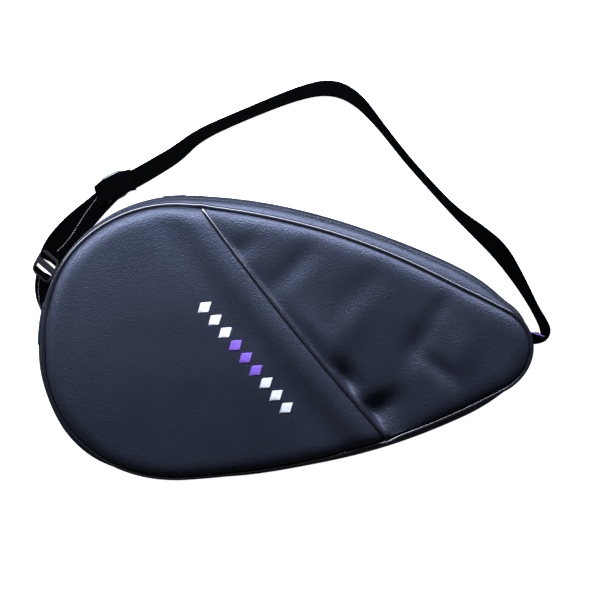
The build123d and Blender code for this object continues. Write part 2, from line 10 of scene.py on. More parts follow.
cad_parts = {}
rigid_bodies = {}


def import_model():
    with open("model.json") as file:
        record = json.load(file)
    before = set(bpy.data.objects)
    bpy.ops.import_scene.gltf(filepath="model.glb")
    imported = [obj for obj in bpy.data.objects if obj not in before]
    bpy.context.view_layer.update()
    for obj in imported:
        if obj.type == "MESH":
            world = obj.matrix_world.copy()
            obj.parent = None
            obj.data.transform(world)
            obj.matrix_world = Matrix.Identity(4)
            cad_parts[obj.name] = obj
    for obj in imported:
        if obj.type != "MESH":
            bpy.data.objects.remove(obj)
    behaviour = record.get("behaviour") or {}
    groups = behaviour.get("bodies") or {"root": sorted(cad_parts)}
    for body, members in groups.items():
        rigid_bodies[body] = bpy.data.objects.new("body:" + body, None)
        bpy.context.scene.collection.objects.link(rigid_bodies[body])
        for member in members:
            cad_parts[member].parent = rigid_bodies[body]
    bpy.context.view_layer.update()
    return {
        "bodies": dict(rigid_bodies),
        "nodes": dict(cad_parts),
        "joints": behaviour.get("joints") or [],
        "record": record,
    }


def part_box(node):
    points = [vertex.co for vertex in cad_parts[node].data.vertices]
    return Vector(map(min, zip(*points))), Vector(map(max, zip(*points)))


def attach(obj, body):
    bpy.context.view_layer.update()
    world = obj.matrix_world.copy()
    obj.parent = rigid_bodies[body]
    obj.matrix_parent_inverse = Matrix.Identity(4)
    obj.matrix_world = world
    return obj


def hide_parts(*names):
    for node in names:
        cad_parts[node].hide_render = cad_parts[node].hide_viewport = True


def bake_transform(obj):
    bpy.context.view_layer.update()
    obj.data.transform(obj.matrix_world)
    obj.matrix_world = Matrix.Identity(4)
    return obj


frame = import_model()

# ---- the case's outline, in metres ----
PIPING_R = 0.002
RIM_LOW, RIM_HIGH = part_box("front_rim_piping")
SEAM_LENGTH = RIM_HIGH[0] - RIM_LOW[0] - 2 * PIPING_R
HEAD_R = (RIM_HIGH[1] - RIM_LOW[1]) / 2 - PIPING_R
TIP_R = 0.044
SIDE_R = 0.688
FRONT_Z = (RIM_LOW[2] + RIM_HIGH[2]) / 2
BACK_Z = sum(corner[2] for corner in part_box("back_rim_piping")) / 2
MID_Z = (FRONT_Z + BACK_Z) / 2
PANEL_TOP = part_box("front_head_panel")[1][2]
TIP_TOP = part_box("front_tip_panel")[1][2]

HEAD_C = np.array([HEAD_R - SEAM_LENGTH / 2, 0.0])
TIP_C = np.array([SEAM_LENGTH / 2 - TIP_R, 0.0])
SPAN = TIP_C[0] - HEAD_C[0]
SIDE_SHIFT = ((SIDE_R - HEAD_R) ** 2 - (SIDE_R - TIP_R) ** 2 + SPAN**2) / (2 * SPAN)
SIDE_DROP = math.sqrt((SIDE_R - HEAD_R) ** 2 - SIDE_SHIFT**2)
UPPER_C = HEAD_C + np.array([SIDE_SHIFT, -SIDE_DROP])
LOWER_C = HEAD_C + np.array([SIDE_SHIFT, SIDE_DROP])
HEAD_TANGENT = math.atan2(SIDE_DROP, -SIDE_SHIFT)
TIP_TANGENT = math.atan2(SIDE_DROP, SPAN - SIDE_SHIFT)

# Arcs counter-clockwise from the tip's pole: centre, radius, first and last angle.
ARCS = [
    (TIP_C, TIP_R, 0.0, TIP_TANGENT),
    (UPPER_C, SIDE_R, TIP_TANGENT, HEAD_TANGENT),
    (HEAD_C, HEAD_R, HEAD_TANGENT, 2 * math.pi - HEAD_TANGENT),
    (LOWER_C, SIDE_R, -HEAD_TANGENT, -TIP_TANGENT),
    (TIP_C, TIP_R, -TIP_TANGENT, 0.0),
]
ARC_ENDS = np.cumsum([radius * abs(last - first) for _, radius, first, last in ARCS])
PERIMETER = ARC_ENDS[-1]
ARC_STARTS = np.concatenate([[0], ARC_ENDS[:-1]])
ZIP_START = TIP_R * math.radians(12.0)
ZIP_END = ARC_STARTS[2] + HEAD_R * (math.radians(168.0) - HEAD_TANGENT)


def rim(distance):
    """Seam-line points, outward normals and depths to the spine at distances round the rim."""
    distance = np.asarray(distance, float) % PERIMETER
    which = np.minimum(np.searchsorted(ARC_ENDS, distance, side="right"), len(ARCS) - 1)
    centre = np.array([arc[0] for arc in ARCS])[which]
    radius = np.array([arc[1] for arc in ARCS])[which]
    first = np.array([arc[2] for arc in ARCS])[which]
    angle = first + (distance - ARC_STARTS[which]) / radius
    normal = np.stack([np.cos(angle), np.sin(angle)], axis=-1)
    point = centre + radius[..., None] * normal
    is_side = (which == 1) | (which == 3)
    to_spine = np.where(is_side, np.abs(point[..., 1]) / np.maximum(np.abs(normal[..., 1]), 1e-6), radius)
    return point, normal, to_spine


def bump(distance, middle, width):
    """A smooth hump of height 1 round the rim."""
    gap = (np.asarray(distance) - middle + PERIMETER / 2) % PERIMETER - PERIMETER / 2
    return np.exp(-((gap / width) ** 2))


# Millimetres round the rim and, in millimetres, how far the soft seam line has moved out of its cut shape.
SETTLE = [
    (0, 3.4), (25, 2.6), (45, 0.6), (100, -2.5), (160, -1.2), (220, 0), (500, 0), (530, -1.5), (565, -4.2),
    (595, -3.8), (630, 1.0), (680, 5.0), (735, 4.6), (800, 0.8), (850, 0.0), (900, 0), (1130, 0), (1155, 0.8),
    (1176, 3.4),
]
# The same for the side band's bulge past the seam line.
SWELL = [
    (0, 1.2), (20, 0.8), (45, 3.0), (69, 10.6), (100, 14.2), (130, 12.6), (161, 11.2), (208, 10.3),
    (254, 9.9), (300, 9.4), (345, 7.8), (385, 5.4), (430, 4.2), (500, 3.6), (535, 4.4), (565, 7.4),
    (600, 8.6), (645, 7.4), (700, 10.2), (725, 9.0), (755, 3.2), (790, 2.6), (812, 4.4), (860, 7.2),
    (922, 6.9), (970, 8.6), (1015, 9.6), (1100, 10.0), (1125, 6.6), (1150, 1.4), (1176, 1.2),
]
SMOOTHING = 0.016


def round_table(table, distance):
    """A smoothed run through a table of millimetres round the rim."""
    places = [place * 0.001 for place, _ in table]
    values = [value * 0.001 for _, value in table]
    distance = np.asarray(distance, float)
    spread = np.linspace(-SMOOTHING, SMOOTHING, 9)
    return sum(np.interp((distance + shift) % PERIMETER, places, values) for shift in spread) / len(spread)


def settle(distance):
    return round_table(SETTLE, distance)


def swell(distance):
    return round_table(SWELL, distance)


# ---- meshes ----
def smooth(piece):
    piece.data.polygons.foreach_set("use_smooth", [True] * len(piece.data.polygons))


def make_mesh(name, points, faces, rounded_off=True):
    mesh = bpy.data.meshes.new(name)
    mesh.from_pydata([tuple(p) for p in np.asarray(points, float)], [], [tuple(f) for f in faces])
    mesh.update()
    piece = bpy.data.objects.new(name, mesh)
    if rounded_off:
        smooth(piece)
    bpy.context.scene.collection.objects.link(piece)
    return piece


def grid_faces(rows, columns, wrap_rows=False, wrap_columns=False):
    faces = []
    for i in range(rows if wrap_rows else rows - 1):
        for j in range(columns if wrap_columns else columns - 1):
            i2 = (i + 1) % rows
            j2 = (j + 1) % columns
            faces.append((i * columns + j, i2 * columns + j, i2 * columns + j2, i * columns + j2))
    return faces


def rod(centre, side, lift, radius, sides, closed=False):
    """Points and faces of a rod, from its middle line, section axes and radii."""
    angles = np.linspace(0, 2 * math.pi, sides, endpoint=False)[:, None]
    ring = side[..., None, :] * np.cos(angles) + lift[..., None, :] * np.sin(angles)
    points = centre[:, None, :] + ring * radius[:, None, None]
    if closed:
        faces = grid_faces(len(centre), sides, wrap_rows=True, wrap_columns=True)
    else:
        faces = rod_faces(len(centre), sides)
    return points.reshape(-1, 3), faces


def rod_faces(rows, columns):
    """Faces round rings of points, with both ends closed."""
    last = (rows - 1) * columns
    ends = [tuple(range(columns)), tuple(last + k for k in reversed(range(columns)))]
    return grid_faces(rows, columns, wrap_columns=True) + ends


def grid_object(name, points, wrap_rows=False, wrap_columns=False, flip=False):
    rows, columns = points.shape[:2]
    faces = grid_faces(rows, columns, wrap_rows, wrap_columns)
    if flip:
        faces = [face[::-1] for face in faces]
    return make_mesh(name, points.reshape(-1, 3), faces)


def apply_modifier(piece, kind, **settings):
    modifier = piece.modifiers.new(kind.title(), kind)
    for key, value in settings.items():
        setattr(modifier, key, value)
    bpy.context.view_layer.objects.active = piece
    piece.select_set(True)
    bpy.ops.object.modifier_apply(modifier=modifier.name)
    piece.select_set(False)


def thicken(piece, thickness):
    apply_modifier(piece, "SOLIDIFY", thickness=thickness, offset=-1.0, use_rim=True)


def paint(piece, material):
    piece.data.materials.clear()
    piece.data.materials.append(material)


def clean_mesh(piece, merge=0.0, plane=None):
    """Merges near points, cuts off what is behind a plane, and turns the faces out."""
    mesh = bmesh.new()
    mesh.from_mesh(piece.data)
    if merge:
        bmesh.ops.remove_doubles(mesh, verts=mesh.verts, dist=merge)
    if plane:
        bmesh.ops.bisect_plane(mesh, geom=mesh.verts[:] + mesh.edges[:] + mesh.faces[:], plane_co=plane[0],
                               plane_no=plane[1], clear_inner=True)
    bmesh.ops.recalc_face_normals(mesh, faces=mesh.faces)
    mesh.to_mesh(piece.data)
    mesh.free()


def face_up(piece, up=True):
    """Turns a sheet's faces up or down, and smooths them."""
    if (piece.data.polygons[0].normal.z > 0) != up:
        piece.data.flip_normals()
    smooth(piece)


def ribbon_uv(piece, along, across):
    """The ribbon's own coordinates at each vertex, in metres: along it and across it."""
    layer = piece.data.uv_layers.new(name="ribbon")
    index = np.empty(len(piece.data.loops), int)
    piece.data.loops.foreach_get("vertex_index", index)
    layer.data.foreach_set("uv", np.column_stack([along, across])[index].ravel())


def reach_along(line):
    """The distance along a line at each of its points."""
    return np.concatenate([[0], np.cumsum(np.linalg.norm(np.diff(line, axis=0), axis=1))])


def units(vectors):
    return vectors / np.linalg.norm(vectors, axis=1)[:, None]


def join_meshes(name, parts):
    """One mesh from many (points, faces) pairs."""
    points, faces, base = [], [], 0
    for part_points, part_faces in parts:
        points.append(np.asarray(part_points, float))
        faces.extend(tuple(index + base for index in face) for face in part_faces)
        base += len(part_points)
    return make_mesh(name, np.concatenate(points), faces)


# ---- materials ----
def new_material(name):
    material = bpy.data.materials.new(name)
    material.use_nodes = True
    return material


def put(material, socket, value):
    """Links an output into a socket, or sets a constant on it."""
    if isinstance(value, bpy.types.NodeSocket):
        material.node_tree.links.new(value, socket)
    else:
        socket.default_value = value


def add_node(material, kind, **values):
    """A node with its properties and inputs set or linked."""
    node = material.node_tree.nodes.new(kind)
    for key, value in values.items():
        if key in node.inputs:
            put(material, node.inputs[key], value)
        else:
            setattr(node, key, value)
    return node


def surface(material, **values):
    """Sets or links inputs of the material's shader, named with _ for a space."""
    inputs = material.node_tree.nodes["Principled BSDF"].inputs
    for key, value in values.items():
        put(material, inputs[key.replace("_", " ")], value)


def calculate(material, operation, *values, kind="ShaderNodeMath"):
    node = add_node(material, kind, operation=operation)
    for socket, value in zip(node.inputs, values):
        put(material, socket, value)
    return node.outputs[0]


def object_place(material):
    return add_node(material, "ShaderNodeTexCoord").outputs["Object"]


def noise(material, place, scale, output="Fac", **values):
    return add_node(material, "ShaderNodeTexNoise", Vector=place, Scale=scale, **values).outputs[output]


def wave(material, place, direction, scale, distortion, **values):
    return add_node(material, "ShaderNodeTexWave", Vector=place, Scale=scale, Distortion=distortion,
                    bands_direction=direction, **values).outputs["Fac"]


def relief(material, height, strength, distance, invert=False):
    return add_node(material, "ShaderNodeBump", Height=height, Strength=strength, Distance=distance,
                    invert=invert).outputs["Normal"]


def spread(material, value, low, high):
    node = add_node(material, "ShaderNodeMapRange", Value=value)
    node.inputs["To Min"].default_value = low
    node.inputs["To Max"].default_value = high
    return node.outputs["Result"]


def between(material, factor, low, high, ends=(0.0, 1.0)):
    """A colour between two colours, by a factor from 0 to 1."""
    node = add_node(material, "ShaderNodeValToRGB", Fac=factor)
    for element, colour, position in zip(node.color_ramp.elements, (low, high), ends):
        element.color = (*colour, 1)
        element.position = position
    return node.outputs["Color"]


def scaled(colour, factor):
    return [part * factor for part in colour]


def leather(name, low, high, roughness, grain=0.0014, depth=0.00035, strength=1.0):
    """Pebbled faux leather: small cells, broad unevenness and slightly polished high spots."""
    material = new_material(name)
    place = object_place(material)
    warp = noise(material, place, 420.0, "Color", Detail=2.0)
    warped = calculate(material, "MULTIPLY_ADD", warp, (0.0005, 0.0005, 0.0005), place,
                       kind="ShaderNodeVectorMath")
    cells = add_node(material, "ShaderNodeTexVoronoi", Vector=warped, Scale=1.0 / grain, feature="SMOOTH_F1",
                     Smoothness=0.35).outputs["Distance"]
    height = calculate(material, "MULTIPLY_ADD", noise(material, place, 2600.0, Detail=3.0), 0.25, cells)
    broad = noise(material, place, 14.0, Detail=4.0, Roughness=0.6)
    surface(material, Normal=relief(material, height, strength, depth, invert=True),
            Base_Color=between(material, broad, low, high, (0.3, 0.7)),
            Roughness=spread(material, cells, roughness - 0.06, roughness + 0.08),
            Specular_IOR_Level=0.5, Specular_Tint=(0.64, 0.71, 1.0, 1.0),
            Coat_Weight=0.06, Coat_Roughness=0.35)
    return material


def webbing(name, colour):
    """Ribbed nylon webbing: cross ribs and a herringbone in the ribbon's own UVs, in metres."""
    material = new_material(name)
    place = add_node(material, "ShaderNodeUVMap", uv_map="ribbon").outputs["UV"]
    ribs = wave(material, place, "X", 190.0, 0.6, Detail=1.0)
    rows = wave(material, place, "Y", 330.0, 0.3)
    weave = calculate(material, "MULTIPLY", ribs, rows)
    height = calculate(material, "MULTIPLY_ADD", noise(material, place, 1500.0, Detail=3.0), 0.3, weave)
    surface(material, Normal=relief(material, height, 0.9, 0.0003),
            Base_Color=between(material, height, scaled(colour, 0.5), scaled(colour, 1.5)),
            Roughness=0.9, Specular_IOR_Level=0.004)
    return material


def thread(name, colour):
    """Shiny embroidery thread laid in parallel strands."""
    material = new_material(name)
    strands = noise(material, object_place(material), 1400.0, Detail=2.0)
    surface(material, Normal=relief(material, strands, 0.4, 0.0002),
            Base_Color=between(material, strands, scaled(colour, 0.75), colour),
            Roughness=0.42, Sheen_Weight=0.25)
    return material


def moulded(name, colour, roughness, metallic=0.0):
    """Moulded plastic or enamel with faint flow marks and scuffs."""
    material = new_material(name)
    scuff = noise(material, object_place(material), 700.0, Detail=5.0, Roughness=0.7)
    surface(material, Normal=relief(material, scuff, 0.2, 0.0001),
            Base_Color=between(material, scuff, scaled(colour, 0.7), scaled(colour, 1.4)),
            Roughness=spread(material, scuff, roughness - 0.08, roughness + 0.15), Metallic=metallic)
    return material


def woven(name, colour, scale=900.0):
    """Plain-woven tape or lining."""
    material = new_material(name)
    place = object_place(material)
    warp, weft = (wave(material, place, direction, scale / 6, 0.4) for direction in "XY")
    weave = calculate(material, "MULTIPLY", warp, weft)
    surface(material, Normal=relief(material, weave, 0.6, 0.00015),
            Base_Color=between(material, weave, scaled(colour, 0.6), scaled(colour, 1.3)), Roughness=0.8)
    return material


LEATHER = leather("black_pebbled_leather", (0.006, 0.0075, 0.012), (0.010, 0.012, 0.018), 0.46)
PIPING = leather("glossy_piping_leather", (0.006, 0.006, 0.009), (0.010, 0.010, 0.014), 0.17,
                 grain=0.0016, depth=0.00003, strength=0.2)
surface(PIPING, Specular_Tint=(0.95, 0.97, 1.0, 1.0), Specular_IOR_Level=0.8)
WEBBING = webbing("black_webbing", (0.0004, 0.0004, 0.0005))
BLACK_THREAD = thread("black_thread", (0.010, 0.010, 0.014))
# Pale grey thread along the webbing's edges: a painted highlight on the lit edges, not a thread the webbing
# has.
PAINTED_EDGE_HIGHLIGHT = thread("painted_edge_highlight_thread", (0.13, 0.135, 0.145))
WHITE_THREAD = thread("white_thread", (0.70, 0.71, 0.76))
PURPLE_THREAD = thread("purple_thread", (0.17, 0.065, 0.50))
BUCKLE = moulded("black_acetal", (0.006, 0.006, 0.007), 0.50)
surface(BUCKLE, Specular_IOR_Level=0.03)
# The tri-glide is the same black acetal as the buckle; its lighter grey base colour is a painted highlight on
# its arched bars.
GLIDE = moulded("acetal_with_painted_highlight", (0.060, 0.060, 0.066), 0.30)
ENAMEL = moulded("black_enamel", (0.012, 0.012, 0.014), 0.28, metallic=0.2)
COIL = moulded("zipper_nylon", (0.010, 0.010, 0.012), 0.40)
TAPE = woven("zipper_tape", (0.010, 0.010, 0.012))
LINING = woven("lining_nylon", (0.035, 0.035, 0.042), 700.0)
FOAM = woven("foam_back", (0.10, 0.10, 0.11), 400.0)


# ---- camera, light and floor ----
CAMERA_RX, CAMERA_RY, CAMERA_RZ = 0.1696, -0.0382, -0.0156
CAMERA_SHIFT = Vector((-0.015263, -0.039194, 0.0))
CAMERA_DISTANCE = 1.5
CAMERA_LENS = 92.07
AIM_POINT = Vector((0, 0, 0.030))


def add_camera():
    turn = (Matrix.Rotation(CAMERA_RZ, 3, "Z") @ Matrix.Rotation(CAMERA_RX, 3, "X")
            @ Matrix.Rotation(CAMERA_RY, 3, "Y"))
    back = turn.transposed()
    place = AIM_POINT + back @ (Vector((0, 0, CAMERA_DISTANCE)) - CAMERA_SHIFT)
    data = bpy.data.cameras.new("camera")
    data.lens = CAMERA_LENS
    data.sensor_width = 36.0
    data.clip_end = 20.0
    camera = bpy.data.objects.new("camera", data)
    camera.matrix_world = Matrix.Translation(place) @ back.to_4x4()
    bpy.context.scene.collection.objects.link(camera)
    bpy.context.scene.camera = camera


def add_area(name, place, target, size, power, colour):
    data = bpy.data.lights.new(name, "AREA")
    data.shape = "RECTANGLE"
    data.size, data.size_y = size
    data.energy = power
    data.color = colour
    light = bpy.data.objects.new(name, data)
    aim = (Vector(target) - Vector(place)).to_track_quat("-Z", "Y")
    light.matrix_world = Matrix.Translation(place) @ aim.to_matrix().to_4x4()
    bpy.context.scene.collection.objects.link(light)


def add_stage():
    floor = make_mesh("floor", [(-6, -6, 0), (6, -6, 0), (6, 6, 0), (-6, 6, 0)], [(0, 1, 2, 3)],
                      rounded_off=False)
    material = new_material("floor_white")
    speckle = noise(material, object_place(material), 30.0)
    surface(material, Base_Color=between(material, speckle, (0.60, 0.60, 0.61), (0.63, 0.63, 0.63)),
            Roughness=0.9, Specular_IOR_Level=0.1, Emission_Color=(1, 1, 1, 1), Emission_Strength=1.0)
    paint(floor, material)
    floor.visible_glossy = False
    world = bpy.data.worlds.new("studio")
    world.use_nodes = True
    background = world.node_tree.nodes["Background"]
    background.inputs["Color"].default_value = (0.80, 0.88, 1.0, 1)
    background.inputs["Strength"].default_value = 0.035
    bpy.context.scene.world = world
    bpy.context.scene.view_settings.view_transform = "Standard"
    add_area("window", place=(-0.08, 0.43, 0.29), target=(0.0, 0.04, 0.03), size=(1.5, 0.20), power=25.0,
             colour=(0.80, 0.86, 1.0))
    add_area("ceiling", place=(-0.3, 0.3, 2.2), target=(0, 0, 0), size=(1.6, 1.2), power=1.2,
             colour=(0.9, 0.95, 1.0))


# ---- front panels ----
SEAM_TOP = np.array([-0.0790, 0.1315])
SEAM_FOOT = np.array([0.1015, -0.0880])
SEAM_ALONG = (SEAM_FOOT - SEAM_TOP) / np.linalg.norm(SEAM_FOOT - SEAM_TOP)
SEAM_ACROSS = np.array([SEAM_ALONG[1], -SEAM_ALONG[0]])     # towards the wide end
SEAM_RUN = np.linalg.norm(SEAM_FOOT - SEAM_TOP)
SEAM_BOW = 0.0035
EDGE_LIP = 0.0012           # the panels start this far inside the seam line
LEATHER_THICK = 0.0012
MERGE = 0.00002


def seam_frame(xy):
    """Distance along the diagonal seam and from it, positive on the head's side."""
    offset = np.asarray(xy) - SEAM_TOP
    along = offset @ SEAM_ALONG
    bow = SEAM_BOW * (1 - (2 * np.clip(along / SEAM_RUN, 0, 1) - 1) ** 2)
    return along, offset @ SEAM_ACROSS - bow, bow


def end_zones(xy):
    """Whether points lie in the sector of the wide end's arc, and in that of the tip's arc."""
    to_head, to_tip = xy - HEAD_C, xy - TIP_C
    return (np.abs(np.arctan2(to_head[..., 1], to_head[..., 0])) > HEAD_TANGENT,
            np.abs(np.arctan2(to_tip[..., 1], to_tip[..., 0])) < TIP_TANGENT)


def edge_depth(xy):
    """Distance inside the seam line."""
    xy = np.asarray(xy)
    upper, lower, head, tip = (radius - np.linalg.norm(xy - centre, axis=-1) for radius, centre in (
        (SIDE_R, UPPER_C), (SIDE_R, LOWER_C), (HEAD_R, HEAD_C), (TIP_R, TIP_C)))
    in_head, in_tip = end_zones(xy)
    return np.where(in_head, head, np.where(in_tip, tip, np.where(xy[..., 1] > 0, upper, lower)))


def shoulder(depth, width):
    """A padded edge's rise from 0 to 1 over a width."""
    ratio = np.clip(depth / width, 0, 1)
    return np.sqrt(np.clip(1 - (1 - ratio) ** 2.4, 0, 1))


# Soft dents of the tip panel: x, y, half length, half width, direction in degrees, depth.
DENTS = [
    (-0.0400, 0.0930, 0.016, 0.010, 40, 0.0026),
    (0.0080, 0.0760, 0.030, 0.012, 48, 0.0034),
    (0.0760, 0.0600, 0.026, 0.014, 47, 0.0022),
    (0.1500, 0.0420, 0.020, 0.010, 60, 0.0018),
    (0.1290, 0.0060, 0.022, 0.012, 65, 0.0042),
    (0.1500, -0.0180, 0.022, 0.009, 140, 0.0034),
    (0.0620, -0.0310, 0.017, 0.010, 122, 0.0088),
    (0.0915, -0.0600, 0.024, 0.012, 35, 0.0068),
    (0.0960, -0.0740, 0.030, 0.022, 20, 0.0065),
    (0.0300, 0.0180, 0.026, 0.010, 130, -0.0022),
    (0.0600, 0.0150, 0.032, 0.014, 60, -0.0022),
    (0.1700, -0.0020, 0.022, 0.014, 90, -0.0026),
]


def dents(xy):
    total = np.zeros(xy.shape[:-1])
    for x, y, length, width, direction, depth in DENTS:
        turn = math.radians(direction)
        offset = xy - np.array([x, y])
        along = offset @ np.array([math.cos(turn), math.sin(turn)])
        across = offset @ np.array([-math.sin(turn), math.cos(turn)])
        total -= depth * np.exp(-(along / length) ** 2 - (across / width) ** 2)
    return total


PANEL_FOOT = FRONT_Z - 0.001
PIPING_LIP = 0.0018
CORD_SEAT = 0.0015          # the diagonal cord's height is taken this far onto the head panel
CLIMB = 0.0022              # the reach of the tip panel's climb to the cord


def head_height(xy):
    """The padded panel's height: a shoulder at the rim, a crown, and a roll beside the diagonal cord."""
    depth = edge_depth(xy)
    _, across, _ = seam_frame(xy)
    rise = shoulder(depth - PIPING_LIP, 0.017)
    crown = 0.0012 * np.clip(depth / 0.10, 0, 1)
    edge = 1 - shoulder(across, 0.016)
    roll = (0.0016 * np.exp(-((across - 0.017) / 0.010) ** 2)
            - 0.0012 * np.exp(-((across - 0.040) / 0.013) ** 2))
    full = PANEL_TOP - 0.0012 - PANEL_FOOT
    return PANEL_FOOT + rise * (full + crown + roll - 0.0040 * edge)


def cord_height(xy):
    """The diagonal cord's height where it lies on the head panel."""
    return np.maximum(head_height(xy) - 0.0004, FRONT_Z + 0.0008)


def tip_height(xy, sewn=True):
    """The slack panel's height; where it is sewn, its edge climbs to the diagonal cord."""
    depth = edge_depth(xy)
    _, across, _ = seam_frame(xy)
    rise = shoulder(depth - PIPING_LIP, 0.020)
    sag = 0.0015 * np.clip(depth / 0.06, 0, 1)
    tuck = 0.0022 * np.exp(across / 0.008)
    full = TIP_TOP - 0.0005 - PANEL_FOOT
    fade = shoulder(depth - 0.004, 0.020)
    height = PANEL_FOOT + rise * (full - sag - tuck) + fade * dents(xy)
    if not sewn:
        return height
    cord = cord_height(xy - SEAM_ACROSS * (across - CORD_SEAT)[..., None])
    return height + (cord - 0.0008 - height) * np.exp(np.minimum(across + EDGE_LIP, 0) / CLIMB)


def front_grid(columns, rows, power):
    """Points from the seam line to the spine, with their distances round the rim and depths inside it."""
    distance = np.linspace(0, PERIMETER, columns, endpoint=False)
    point, normal, depth = rim(distance)
    level = np.linspace(0, 1, rows) ** power
    inset = level[None, :] * (depth - EDGE_LIP)[:, None] + EDGE_LIP
    return distance, point[:, None, :] - normal[:, None, :] * inset[..., None], inset


def cut_panel(name, side, height_of):
    """A front panel cut along the diagonal seam, then raised; side is 1 for the head's, -1 for the tip's."""
    _, xy, _ = front_grid(760, 64, 1.55)
    rows, columns = xy.shape[:2]
    flat = xy.reshape(-1, 2)
    _, _, bow = seam_frame(flat)
    straight = flat - SEAM_ACROSS * bow[:, None]
    sheet = make_mesh(name, np.column_stack([straight, np.zeros(len(straight))]),
                      grid_faces(rows, columns, wrap_rows=True))
    across = Vector((*SEAM_ACROSS, 0)) * side
    clean_mesh(sheet, MERGE, (Vector((*SEAM_TOP, 0)) + across * EDGE_LIP, across))
    co = np.empty(len(sheet.data.vertices) * 3)
    sheet.data.vertices.foreach_get("co", co)
    flat = co.reshape(-1, 3)[:, :2]
    _, _, bow = seam_frame(flat)
    xy = flat + SEAM_ACROSS * bow[:, None]
    sheet.data.vertices.foreach_set("co", np.column_stack([settled(xy), height_of(xy)]).ravel())
    sheet.data.update()
    face_up(sheet)
    thicken(sheet, LEATHER_THICK)
    paint(sheet, LEATHER)
    return sheet


def rim_distance(xy):
    """Distance round the rim of the nearest seam-line point."""
    xy = np.asarray(xy)
    head, tip, upper, lower = (np.arctan2(xy[..., 1] - centre[1], xy[..., 0] - centre[0])
                               for centre in (HEAD_C, TIP_C, UPPER_C, LOWER_C))
    on_head = ARC_STARTS[2] + HEAD_R * (head % (2 * math.pi) - HEAD_TANGENT)
    on_upper = ARC_STARTS[1] + SIDE_R * (upper - TIP_TANGENT)
    on_lower = ARC_STARTS[3] + SIDE_R * (lower + HEAD_TANGENT)
    in_head, in_tip = end_zones(xy)
    side = np.where(xy[..., 1] > 0, on_upper, on_lower)
    return np.where(in_head, on_head, np.where(in_tip, TIP_R * tip % PERIMETER, side))


def settled(xy):
    """Panel points moved with the settled seam line, fading towards the spine."""
    distance = rim_distance(xy)
    _, normal, to_spine = rim(distance)
    depth = np.clip(edge_depth(xy), 0, None)
    fade = np.clip(1 - depth / (to_spine * 0.98), 0, 1)
    fade = fade * fade * (3 - 2 * fade)
    return xy + normal * (settle(distance) * fade)[..., None]


# ---- rim pieces ----
BAND_REACH = (FRONT_Z - BACK_Z) / 2 - PIPING_R - 0.0003
BAND_R = (BAND_REACH**2 + 0.010**2) / 0.020
BAND_HALF = math.asin(BAND_REACH / BAND_R)
ZIP_ANGLE = math.radians(-20.0)
STITCH_ANGLE = math.radians(26.0)
BAND_THICK = 0.0018
FRONT_TUCK = 0.0034         # how far the band is drawn in under the front piping
STITCH_TUCK = 0.0007
ZIP_WINDOW = 0.0046 / BAND_R
BAND_SKEW = 0.30            # the band bulges more above its middle


def band_points(distance, angles, lift=0.0):
    """Points of the swollen side band at distances round the rim and section angles."""
    distance = np.atleast_1d(distance)
    angles = np.atleast_1d(angles)
    point, normal, _ = rim(distance)
    scale = np.clip((np.cos(angles) - math.cos(BAND_HALF)) / (1 - math.cos(BAND_HALF)), 0, 1) ** 0.9
    scale = scale * (1 + BAND_SKEW * np.sin(1.9 * angles))
    out = swell(distance)[:, None] * scale[None, :] + settle(distance)[:, None]
    out = out - FRONT_TUCK * np.exp(-((BAND_HALF - angles) * BAND_R / 0.0035) ** 2)[None, :]
    groove = np.exp(-((angles - STITCH_ANGLE) * BAND_R / 0.0016) ** 2)
    out = out - STITCH_TUCK * groove[None, :] * np.clip(swell(distance) / 0.006, 0, 1)[:, None]
    out = out + lift * np.cos(angles)[None, :]
    height = MID_Z + BAND_R * np.sin(angles) + lift * np.sin(angles)
    xy = point[:, None, :] + normal[:, None, :] * out[..., None]
    z = np.broadcast_to(height[None, :], out.shape)
    return np.concatenate([xy, z[..., None]], axis=-1)


RIM_STEP = 0.0016


def round_rim(start, end, pitch=RIM_STEP):
    count = max(2, int(round((end - start) / pitch)) + 1)
    return np.linspace(start, end, count)


def ripple(distance, angles, seed, size=0.0006, waves=7):
    """Slow waves that keep the side band from looking machined."""
    random.seed(seed)
    total = np.zeros((len(distance), len(angles)))
    for _ in range(waves):
        rate = random.uniform(18, 70)
        phase = random.uniform(0, 6.28)
        tilt = random.uniform(-3, 3)
        total += np.sin(distance[:, None] * rate + angles[None, :] * tilt + phase) * random.uniform(0.3, 1)
    return total * size / waves


def side_band(name, start, end, low, high, seed, rows=34):
    distance = round_rim(start, end)
    angles = np.linspace(high, low, rows)
    points = band_points(distance, angles)
    _, normal, _ = rim(distance)
    waves = ripple(distance, angles, seed) * np.cos(angles / BAND_HALF * math.pi / 2)[None, :]
    points[..., :2] += normal[:, None, :] * waves[..., None]
    piece = grid_object(name, points, flip=True)
    thicken(piece, BAND_THICK)
    paint(piece, LEATHER)
    return piece


def tube(name, path, radius, closed=False):
    """A cord of piping along a path."""
    if closed:
        tangent = units(np.roll(path, -1, 0) - np.roll(path, 1, 0))
    else:
        tangent = units(np.gradient(path, axis=0))
    side = units(np.cross(tangent, [0.0, 0.0, 1.0]))
    radii = np.full(len(path), radius)
    piece = make_mesh(name, *rod(path, side, np.cross(side, tangent), radii, 12, closed))
    paint(piece, PIPING)
    return piece


def rim_path(height, lift=None):
    """The seam line at a height, raised and pushed out where lift says."""
    distance = np.linspace(0, PERIMETER, int(PERIMETER / RIM_STEP), endpoint=False)
    point, normal, _ = rim(distance)
    out = settle(distance)
    z = np.full(len(distance), height)
    if lift is not None:
        out = out + lift(distance) * 0.0016
        z = z + lift(distance) * 0.0012
    return np.column_stack([point + normal * out[:, None], z])


SEAM_TOP_RIM = float(rim_distance(SEAM_TOP))
SEAM_FOOT_RIM = float(rim_distance(SEAM_FOOT))


def seam_ends(distance):
    """Humps of the front piping where the diagonal cord meets it."""
    return bump(distance, SEAM_TOP_RIM, 0.006) * 0.5 + bump(distance, SEAM_FOOT_RIM, 0.009)


STITCH_ENDS = np.array([0.35, 0.9, 1.0, 0.9, 0.35])


